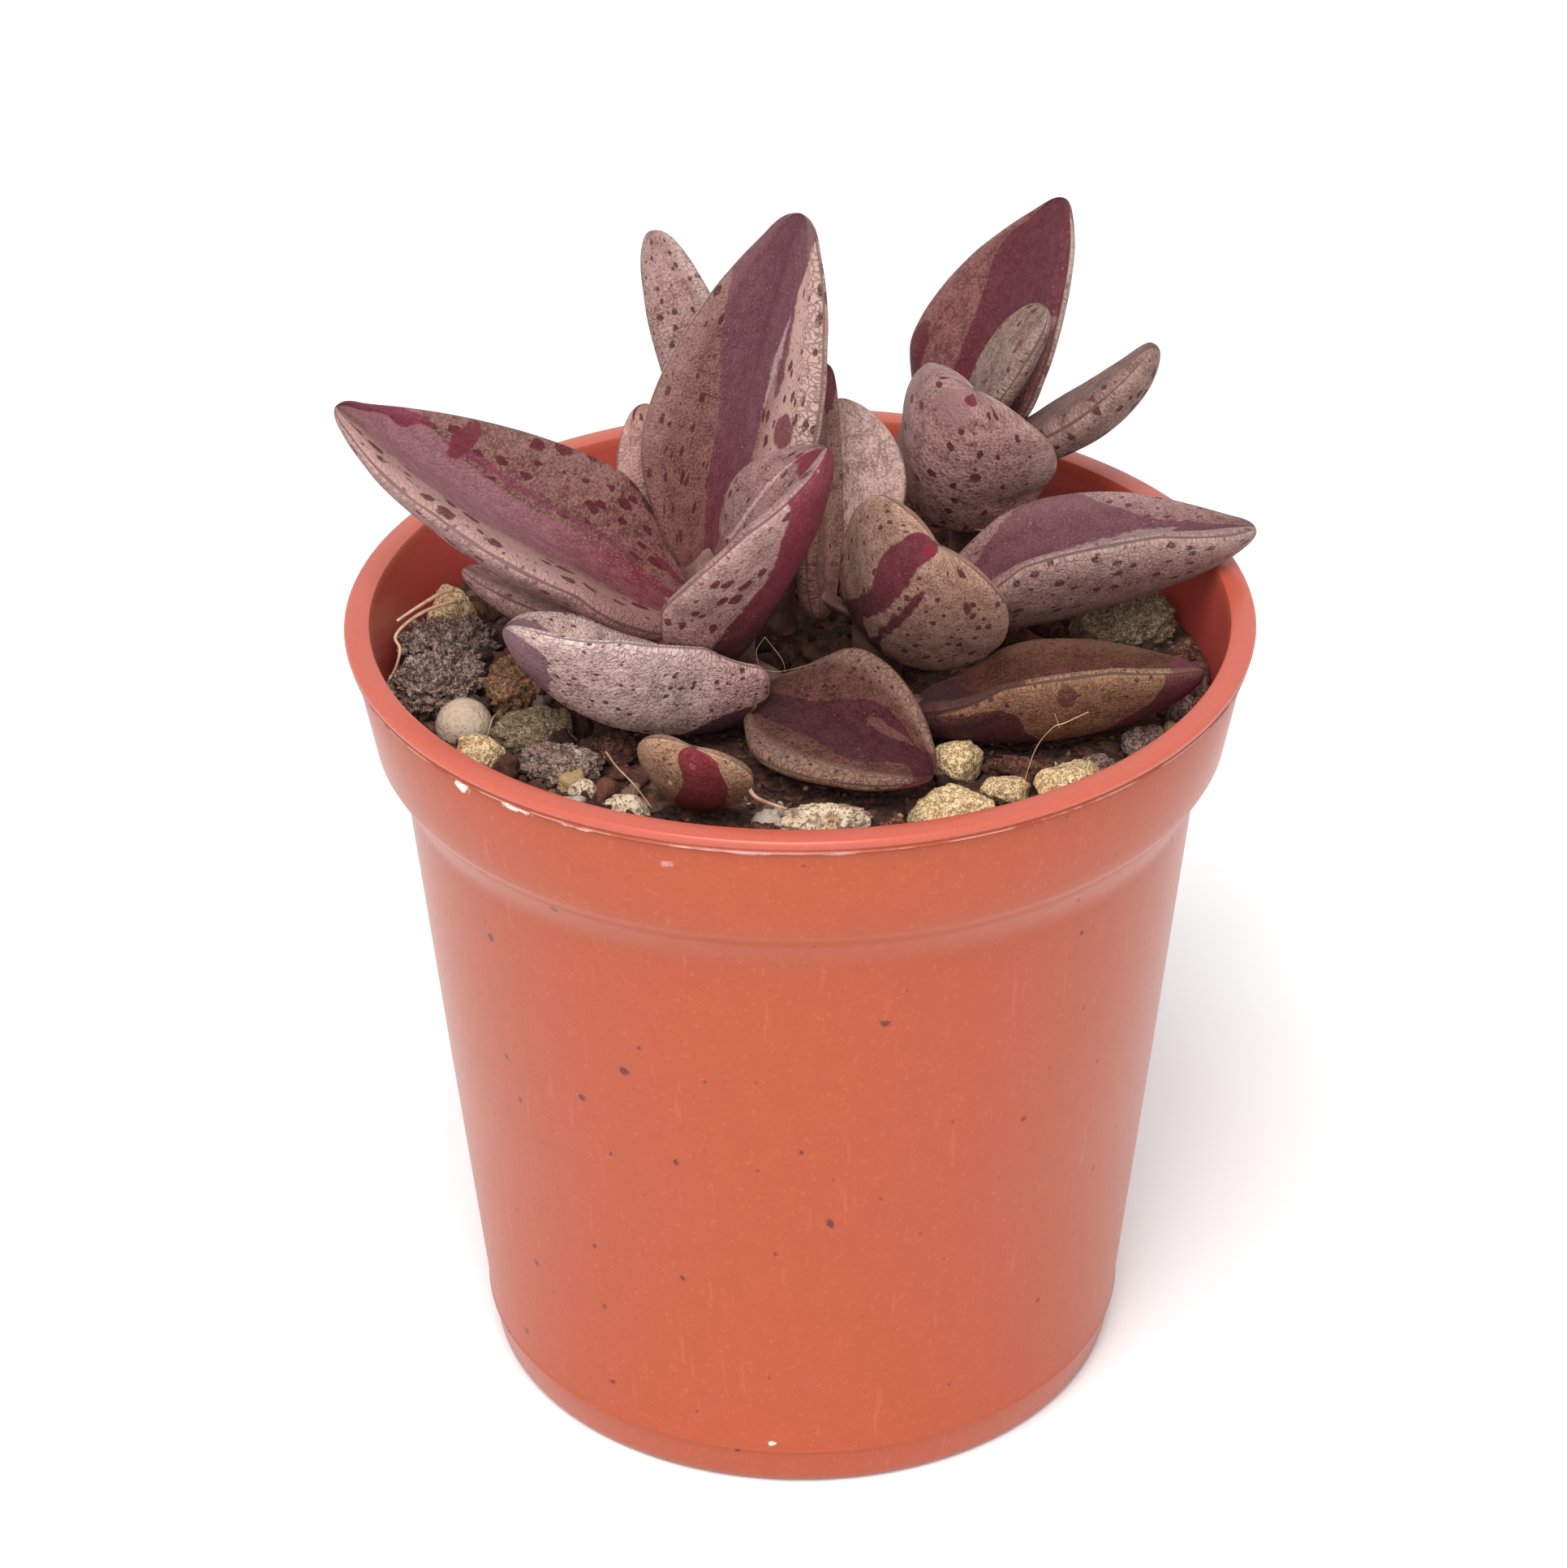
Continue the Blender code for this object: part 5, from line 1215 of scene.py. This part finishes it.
def soil_height(x, y):
    """The ground with its lumps and crumbs, pressed down under stones and clear of the low leaves."""
    height = bare_soil_height(x, y)
    spot = Vector((x, y, 0.0))
    height += 0.22 * noise.noise(spot * 0.9 + Vector((5, 1, 2))) + 0.13 * noise.noise(spot * 2.3)
    height += 0.07 * noise.noise(spot * 5.1)
    for name, stone in STONES.items():
        if hypot(x - stone["at"][0], y - stone["at"][1]) < 3.5:
            share = share_of_stone(stone, x, y) / BED_SPREAD
            if share < 1:
                bed = STONE_CENTRES[name].z - stone["half"][2] * sqrt(1 - share * share)
                height = min(height, bed - BED_GAP)
    if len(LOW_POINTS):
        away = (LOW_POINTS[:, 0] - x) ** 2 + (LOW_POINTS[:, 1] - y) ** 2
        near = away < 1.7
        if near.any():
            height = min(height, float((LOW_POINTS[near, 2] - BED_GAP + 0.3 * away[near]).min()))
    return height


def disc_spot(column, row):
    """A point of a square grid, moved so that the grid fills a disc."""
    a = 2 * column / SOIL_GRID - 1
    b = 2 * row / SOIL_GRID - 1
    if a == 0 and b == 0:
        return 0.0, 0.0
    if abs(a) > abs(b):
        radius, angle = a, pi / 4 * b / a
    else:
        radius, angle = b, pi / 2 - pi / 4 * a / b
    return SOIL_EDGE * radius * cos(angle), SOIL_EDGE * radius * sin(angle)


def cut_stem_holes(soil):
    for name, shoot in SHOOTS.items():
        stem = shoot["stem"]
        cutters = bmesh.new()
        place = Matrix.Translation(Vector((stem["x"], stem["y"], 45.7)) * MM)
        radius = (stem["radius"] + 0.06) * MM
        bmesh.ops.create_cone(
            cutters, cap_ends=True, segments=48, radius1=radius, radius2=radius, depth=12 * MM, matrix=place
        )
        mesh = bpy.data.meshes.new(name + " hole")
        cutters.to_mesh(mesh)
        cutters.free()
        cutter = bpy.data.objects.new(name + " hole", mesh)
        bpy.context.scene.collection.objects.link(cutter)
        cut = soil.modifiers.new("stem hole", "BOOLEAN")
        cut.object = cutter
        cut.operation = "DIFFERENCE"
        cut.solver = "EXACT"
    seen = soil.evaluated_get(bpy.context.evaluated_depsgraph_get())
    holed = bpy.data.meshes.new_from_object(seen)
    cutters = [cut.object for cut in soil.modifiers]
    soil.modifiers.clear()
    soil.data = holed
    for cutter in cutters:
        bpy.data.objects.remove(cutter, do_unlink=True)


def lay_soil(material):
    side = SOIL_GRID + 1
    points = []
    for row in range(side):
        for column in range(side):
            x, y = disc_spot(column, row)
            points.append((x, y, soil_height(x, y)))
    faces = []
    for row in range(SOIL_GRID):
        for column in range(SOIL_GRID):
            low = row * side + column
            faces.append((low, low + 1, low + side + 1, low + side))
    edge = list(range(SOIL_GRID))
    edge += [row * side + SOIL_GRID for row in range(SOIL_GRID)]
    edge += [SOIL_GRID * side + column for column in range(SOIL_GRID, 0, -1)]
    edge += [row * side for row in range(SOIL_GRID, 0, -1)]
    rim = edge
    for radius, height in ((24.67, 43.6), (22.97, 39.8), (19.1, 1.83)):
        below = list(range(len(points), len(points) + len(edge)))
        for corner in edge:
            x, y = points[corner][:2]
            reach = radius / hypot(x, y)
            points.append((x * reach, y * reach, height))
        for step in range(len(edge)):
            beside = (step + 1) % len(edge)
            faces.append((rim[step], below[step], below[beside], rim[beside]))
        rim = below
    faces.append(tuple(rim))
    soil = lay_piece("soil_ground", points, faces, material, ["soil"])
    cut_stem_holes(soil)
    return soil


def soil_material():
    material, tree, surface = new_material("dark peat", 0.95)
    spot = put(tree, "ShaderNodeTexCoord").outputs["Object"]
    place = put(tree, "ShaderNodeVectorMath", {0: spot, 1: (1000, 1000, 1000)}, operation="MULTIPLY").outputs[0]
    grain = use_group(tree, GRAIN, {"Place": place, "Grain": 0.35})
    lumps = put(tree, "ShaderNodeTexVoronoi", {"Vector": place, "Scale": 1.5})
    tone = put(tree, "ShaderNodeSeparateColor", {0: lumps.outputs["Color"]}).outputs[0]
    shade = tint(tree, grain["Mottle"], colour(50, 32, 28), colour(88, 62, 54))
    shade = tint(tree, ease(tree, tone, 0.72, 0.8), shade, colour(112, 70, 54))
    shade = tint(tree, calc(tree, "MULTIPLY", ease(tree, tone, 0.0, 0.1, 1.0, 0.0), 0.7), shade, colour(136, 110, 92))
    shade = tint(tree, calc(tree, "MULTIPLY", grain["Speckle"], 0.5), shade, colour(112, 86, 72))
    tree.links.new(shade, surface.inputs["Base Color"])
    lump = ease(tree, lumps.outputs["Distance"], 0.0, 0.7, 1.0, 0.0)
    height = calc(tree, "ADD", lump, calc(tree, "MULTIPLY", grain["Height"], 1.2))
    bump = put(tree, "ShaderNodeBump", {"Height": height, "Strength": 0.9, "Distance": 0.0004}).outputs[0]
    tree.links.new(bump, surface.inputs["Normal"])
    surface.inputs["Specular IOR Level"].default_value = 0.25
    return material


lay_soil(soil_material())
print("soil:", TRIANGLES["soil_ground"], "triangles")

# %% [markdown]
# Crumbs are small lumps of peat, bark and grit. Modelling each by hand would take days, so a handful of
# rules makes them: a ball pushed in and out by noise, flattened and turned at random, half sunk in the
# ground. Each one keeps a tone number, and the finish turns it into peat, bark, sand or grit.

# %% Soil crumbs
CRUMBS = 1300
CRUMB_SEED = 11


def crumb_spots():
    draw = random.Random(CRUMB_SEED)
    spots = []
    while len(spots) < CRUMBS:
        angle = draw.uniform(0, 2 * pi)
        away = 24.4 * sqrt(draw.random())
        x, y = away * cos(angle), away * sin(angle)
        size = 0.15 + 1.0 * draw.random() ** 2.8
        if away + size > 24.7:
            continue
        if any(share_of_stone(stone, x, y) < 0.96 for stone in STONES.values()):
            continue
        if any(hypot(x - shoot["stem"]["x"], y - shoot["stem"]["y"]) < shoot["stem"]["radius"] + size + 0.2 for shoot in SHOOTS.values()):
            continue
        if len(LOW_POINTS) and ((LOW_POINTS[:, 0] - x) ** 2 + (LOW_POINTS[:, 1] - y) ** 2).min() < (size + 0.5) ** 2:
            size = min(size, 0.2)
        spots.append((x, y, size, draw.random(), draw.random()))
    return spots


def ball_points(detail):
    ball = bmesh.new()
    bmesh.ops.create_icosphere(ball, subdivisions=detail, radius=1.0)
    directions = [vertex.co.normalized() for vertex in ball.verts]
    faces = [tuple(vertex.index for vertex in face.verts) for face in ball.faces]
    ball.free()
    return directions, faces


def crumb_material():
    material, tree, surface = new_material("soil crumbs", 0.92)
    tone = put(tree, "ShaderNodeAttribute", attribute_name="tone").outputs["Vector"]
    parts = put(tree, "ShaderNodeSeparateXYZ", {0: tone}).outputs
    spot = put(tree, "ShaderNodeTexCoord").outputs["Object"]
    place = put(tree, "ShaderNodeVectorMath", {0: spot, 1: (1000, 1000, 1000)}, operation="MULTIPLY").outputs[0]
    grain = use_group(tree, GRAIN, {"Place": place, "Grain": 0.2})
    kinds = put(tree, "ShaderNodeValToRGB", {0: parts[0]})
    ramp = kinds.color_ramp
    ramp.interpolation = "CONSTANT"
    ramp.elements[0].color = colour(66, 44, 38)
    ramp.elements[1].position = 0.34
    ramp.elements[1].color = colour(96, 62, 50)
    for position, shade in ((0.56, (124, 76, 58)), (0.70, (142, 112, 92)), (0.82, (118, 100, 92)), (0.90, (204, 172, 124)), (0.96, (224, 208, 188))):
        ramp.elements.new(position).color = colour(*shade)
    shade = tint(tree, grain["Mottle"], kinds.outputs["Color"], colour(48, 32, 28))
    shade = tint(tree, 0.55, kinds.outputs["Color"], shade)
    shade = tint(tree, calc(tree, "MULTIPLY", grain["Speckle"], 0.35), shade, colour(150, 122, 102))
    tree.links.new(shade, surface.inputs["Base Color"])
    bump = put(tree, "ShaderNodeBump", {"Height": grain["Height"], "Strength": 0.9, "Distance": 0.0002}).outputs[0]
    tree.links.new(bump, surface.inputs["Normal"])
    surface.inputs["Specular IOR Level"].default_value = 0.25
    return material


def scatter_crumbs():
    fine, coarse = ball_points(3), ball_points(2)
    points, faces, tones = [], [], []
    for number, (x, y, size, kind, spare) in enumerate(crumb_spots()):
        directions, ball_faces = fine if size > 0.42 else coarse
        turn = Euler((spare * 7, kind * 9, number * 2.4)).to_matrix()
        shape = Vector((size, size * (0.6 + 0.35 * kind), size * (0.5 + 0.3 * spare)))
        centre = Vector((x, y, soil_height(x, y) + 0.3 * size))
        start = len(points)
        for direction in directions:
            push = direction * 1.5 + Vector((number * 3.3, 0, 0))
            rough = 1 + 0.5 * noise.noise(push) + 0.22 * noise.noise(push * 2.7)
            points.append(centre + turn @ Vector(a * b for a, b in zip(direction, shape)) * rough)
            tones.append((kind * (0.5 if hypot(x - 2, y + 1) < 9 else 1.0), spare, 0.0))
        faces += [tuple(start + corner for corner in face) for face in ball_faces]
    piece = lay_piece("soil_crumbs", points, faces, crumb_material(), ["soil"])
    store(piece, "tone", tones)
    return piece


scatter_crumbs()
print("crumbs:", CRUMBS, "with", TRIANGLES["soil_crumbs"], "triangles")

# %% [markdown]
# A few tan roots lie bare over the grit at the left wall and in front, and fine hairs of dust and web hang
# between the leaves. Curves with a round bevel would draw them too, but the rod that makes the stems takes
# any path, so each root is that rod along a smoothed line, thinning toward its end.

# %% Roots and hairs
# each is its thickness in mm, then the points that it passes
ROOTS = {
    "wall_high": (0.30, [(-21.2, 4.1, 50.2), (-22.1, 3.5, 50.1), (-23.3, 2.5, 49.8), (-24.5, 1.3, 49.5)]),
    "wall_low": (0.26, [(-21.0, 3.2, 49.9), (-22.8, 2.8, 49.4), (-24.0, 1.9, 49.0), (-24.6, 0.7, 48.7), (-24.3, 0.1, 48.2),
                        (-24.5, -1.1, 47.6), (-24.9, -1.8, 47.1)]),
    "left": (0.12, [(-11.5, -10.9, 47.3), (-10.8, -13.0, 47.5), (-9.7, -15.0, 47.4), (-8.7, -16.2, 46.6)]),
    "front": (0.3, [(-3.1, -15.3, 47.4), (-2.7, -15.7, 47.0), (-2.0, -16.2, 46.9), (-0.9, -16.6, 46.7)]),
    "stone": (0.07, [(-18.4, -11.1, 48.6), (-18.1, -10.1, 49.2), (-17.7, -8.1, 48.6)]),
    "right": (0.07, [(16.8, -11.6, 50.2), (15.4, -12.0, 49.7), (14.7, -12.2, 49.5), (13.7, -12.6, 48.3), (12.9, -13.4, 46.0)]),
    "right_branch": (0.05, [(15.1, -12.0, 49.4), (14.8, -11.8, 50.2)]),
    "web_one": (0.03, [(-2.1, -7.2, 52.9), (-1.1, -7.4, 51.5), (-0.9, -7.6, 50.7)]),
    "web_two": (0.03, [(-2.1, -7.2, 52.9), (-2.6, -7.3, 52.0), (-2.4, -7.6, 50.9)]),
    "web_three": (0.03, [(-2.5, -7.6, 51.0), (-1.3, -7.8, 50.9), (0.4, -7.6, 51.2)]),
}
ROOT_STEPS = 8
ROOT_SIDES = 8


def smooth_path(corners):
    """Points on a curve that passes every corner, by the rule of Catmull and Rom."""
    line = [Vector(corner) for corner in corners]
    line = [2 * line[0] - line[1]] + line + [2 * line[-1] - line[-2]]
    path = []
    for before, start, end, after in zip(line, line[1:], line[2:], line[3:]):
        for step in range(ROOT_STEPS):
            s = step / ROOT_STEPS
            bend = (2 * before - 5 * start + 4 * end - after) * s**2 + (3 * start - before - 3 * end + after) * s**3
            path.append(start + 0.5 * ((end - before) * s + bend))
    return path + [line[-2]]


def root_material():
    material, tree, surface = new_material("dry root", 0.7)
    spot = put(tree, "ShaderNodeTexCoord").outputs["Object"]
    place = put(tree, "ShaderNodeVectorMath", {0: spot, 1: (1000, 1000, 1000)}, operation="MULTIPLY").outputs[0]
    grain = use_group(tree, GRAIN, {"Place": place, "Grain": 0.3})
    shade = tint(tree, ease(tree, grain["Mottle"], 0.35, 0.65), colour(172, 128, 98), colour(214, 180, 150))
    tree.links.new(shade, surface.inputs["Base Color"])
    return material


def lay_roots():
    points, faces = [], []
    for thickness, corners in ROOTS.values():
        path = smooth_path(corners)
        sections = []
        for step, spot in enumerate(path):
            heading = (path[min(step + 1, len(path) - 1)] - path[max(step - 1, 0)]).normalized()
            aside = heading.cross(Vector((0, 0, 1))).normalized()
            half = 0.5 * thickness * (1 - 0.4 * step / len(path))
            sections.append((spot, half * aside, half * heading.cross(aside)))
        rod_surface(sections, ROOT_SIDES, points, faces)
    lay_piece("roots_and_hairs", points, faces, root_material(), ["soil"])


lay_roots()
print("roots and hairs:", len(ROOTS))

# %% [markdown]
# ## Stones, bark and the clay prill
# The grit is a mix: yellow pumice with rusty skin, grey-green pumice, black lava full of holes, dull
# gravel, pale chips, flakes of bark, and one round clay prill of slow-release feed. All share one build:
# the solid's own rugged ball, chipped by flat cuts, then pitted. What differs is a row of numbers for each kind.

# %% Stone forms
RUGGED_DEPTH = 0.22
STONE_DETAIL = 5
STONE_SWELL = 0.13
STONE_REACH = 1.16
FINE_RELIEF = [(1.3, 0.36), (2.9, 0.26), (6.3, 0.14), (12.0, 0.07)]
# chips: how deep flat cuts go, pore: pore size in mm, pits: their depth, fine: roughness, grain: stretch along
STONE_KINDS = {
    "pumice": dict(chips=0.4, pore=0.5, pits=0.06, fine=0.2),
    "grey_green_pumice": dict(chips=0.14, pore=0.44, pits=0.16, fine=0.36),
    "lava": dict(chips=0.2, pore=0.6, pits=0.32, fine=0.6),
    "brown_lava": dict(chips=0.2, pore=0.55, pits=0.26, fine=0.55),
    "gravel": dict(chips=0.22, pore=0.6, pits=0.08, fine=0.44),
    "pale_gravel": dict(chips=0.22, pore=0.6, pits=0.04, fine=0.30),
    "bark": dict(chips=0.20, pore=0.5, pits=0.06, fine=0.52),
    "clay": dict(chips=0.0, pore=0.5, pits=0.0, fine=0.012),
}


def flat_cuts(seed, depth):
    """Directions and distances of the planes that chip a stone."""
    draw = random.Random(seed)
    cuts = []
    for _ in range(9):
        facing = Vector((draw.gauss(0, 1), draw.gauss(0, 1), draw.gauss(0, 1))).normalized()
        cuts.append((facing, 1 - depth * draw.uniform(0.35, 1.0)))
    return cuts


def stone_points(stone, centre, seed, directions):
    kind = STONE_KINDS[stone["kind"]]
    turn = Euler((0.0, 0.0, radians(stone["turn"]))).to_matrix()
    half = Vector(stone["half"])
    cuts = flat_cuts(seed, kind["chips"]) if kind["chips"] else []
    points = []
    for direction in directions:
        bumps = 0.5 + 0.5 * noise.noise(direction * 1.7 + Vector((seed * 3.7, seed * 1.3, 0.0)))
        reach = 1.0 - RUGGED_DEPTH * stone["rugged"] * 2 * bumps
        for facing, distance in cuts:
            toward = direction.dot(facing)
            if toward > 0.05:
                reach = min(reach, distance * (1 - RUGGED_DEPTH * stone["rugged"]) / toward)
        local = Vector(a * b for a, b in zip(direction, half))
        place = local + Vector((seed * 5.1, 0, 0))
        reach += STONE_SWELL if kind["fine"] > 0.1 else 0.0
        for size, depth in FINE_RELIEF:
            reach += kind["fine"] * depth * noise.noise(place * size)
        if kind["pits"]:
            hollow = noise.voronoi(place / kind["pore"])[0][0]
            reach -= kind["pits"] * max(0.0, 1 - hollow / 0.42)
        points.append(centre + turn @ (local * min(reach, STONE_REACH)))
    return points


print("kinds of stone:", len(STONE_KINDS))

# %% [markdown]
# The finish of a stone reads the same pits and grain, lays a second tone in patches, lets soil dust gather
# low down, paints shade into the pores and the hollows of the grain, and adds specks. Numbers state the tones, so each
# kind stays one short row.

# %% Stone finishes
# main tone, second tone and its reach, pit tone (painted shade in pits and grain hollows), speck tone and its strength,
# dust, pore size, bump depth in mm
STONE_TONES = {
    "pumice": ((238, 208, 160), (208, 162, 114), 0.42, (146, 104, 70), (246, 228, 192), 0.35, 0.22, 0.36, 0.16),
    "grey_green_pumice": ((160, 138, 108), (188, 162, 128), 0.4, (78, 60, 46), (212, 196, 164), 0.5, 0.25, 0.24, 0.3),
    "lava": ((158, 128, 116), (196, 170, 156), 0.5, (34, 22, 20), (216, 198, 186), 0.5, 0.25, 0.36, 0.45),
    "brown_lava": ((144, 104, 76), (178, 138, 102), 0.45, (44, 26, 20), (198, 168, 134), 0.4, 0.25, 0.28, 0.3),
    "gravel": ((142, 116, 104), (178, 154, 140), 0.45, (66, 48, 44), (206, 190, 176), 0.5, 0.3, 0.5, 0.2),
    "pale_gravel": ((216, 194, 166), (178, 138, 104), 0.4, (118, 86, 66), (246, 236, 220), 0.5, 0.25, 0.6, 0.15),
    "bark": ((106, 64, 50), (142, 94, 74), 0.4, (44, 26, 22), (176, 136, 112), 0.35, 0.25, 0.4, 0.3),
    "clay": ((194, 172, 150), (176, 152, 130), 0.45, (160, 134, 112), (232, 214, 194), 0.3, 0.12, 0.8, 0.06),
}


def stone_material(kind):
    main, second, reach, pit_shade_tone, speck_tone, specks, dust, pore, depth = STONE_TONES[kind]
    material, tree, surface = new_material(kind.replace("_", " "), 0.88)
    spot = put(tree, "ShaderNodeTexCoord").outputs["Object"]
    place = put(tree, "ShaderNodeVectorMath", {0: spot, 1: (1000, 1000, 1000)}, operation="MULTIPLY").outputs[0]
    grain = use_group(tree, GRAIN, {"Place": place, "Grain": 0.25})
    pits = use_group(tree, PITS, {"Place": place, "Pore": pore})
    patch = put(tree, "ShaderNodeTexNoise", {"Vector": place, "Scale": 0.7, "Detail": 4.0, "Roughness": 0.6}).outputs[0]
    shade = tint(tree, ease(tree, patch, 0.66 - 0.3 * reach, 0.8 - 0.3 * reach), colour(*main), colour(*second))
    shade = tint(tree, calc(tree, "MULTIPLY", grain["Speckle"], specks), shade, colour(*speck_tone))
    # painted shade: the hollows of the grain and the pits take the dark pit tone
    shade = tint(tree, calc(tree, "MULTIPLY", ease(tree, grain["Height"], 0.3, 0.45, 1.0, 0.0), 0.45), shade, colour(*pit_shade_tone))
    shade = tint(tree, calc(tree, "MULTIPLY", pits["Pits"], 0.8 if depth > 0.1 else 0.1), shade, colour(*pit_shade_tone))
    height = put(tree, "ShaderNodeSeparateXYZ", {0: place}).outputs[2]
    ragged = calc(tree, "ADD", height, calc(tree, "MULTIPLY", patch, 1.6))
    low = calc(tree, "MULTIPLY", ease(tree, ragged, 46.2, 47.4, 1.0, 0.0), dust * 2.2)
    shade = tint(tree, low, shade, colour(74, 52, 44))
    tree.links.new(shade, surface.inputs["Base Color"])
    relief = calc(tree, "ADD", calc(tree, "MULTIPLY", pits["Height"], 0.8), calc(tree, "MULTIPLY", grain["Height"], 0.5))
    bump = put(tree, "ShaderNodeBump", {"Height": relief, "Strength": 0.9, "Distance": depth * MM}).outputs[0]
    tree.links.new(bump, surface.inputs["Normal"])
    surface.inputs["Specular IOR Level"].default_value = 0.3
    return material


def lay_stones():
    finishes = {kind: stone_material(kind) for kind in STONE_TONES}
    balls = [ball_points(STONE_DETAIL), ball_points(STONE_DETAIL + 1)]
    for seed, (name, stone) in enumerate(STONES.items(), start=1):
        directions, faces = balls[stone["half"][0] > 2.3]
        points = stone_points(stone, STONE_CENTRES[name], seed, directions)
        lay_piece(name + "_stone", points, faces, finishes[stone["kind"]], [name])


lay_stones()
print("stones:", len(STONES))

# %% [markdown]
# ## The finished model
# The last cell measures everything once more beside the solid model, counts the triangles and hands the
# scene over.

# %% Finish
def plain(value):
    """Vectors as lists of numbers, so that they can be written down."""
    return value if isinstance(value, (int, float)) else [plain(part) for part in value]


seen_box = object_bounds()
{"solid": plain(solid_box), "visual": plain(seen_box)}
print("triangles:", sum(TRIANGLES.values()), "in", len(TRIANGLES), "pieces, largest", max(TRIANGLES.values()))
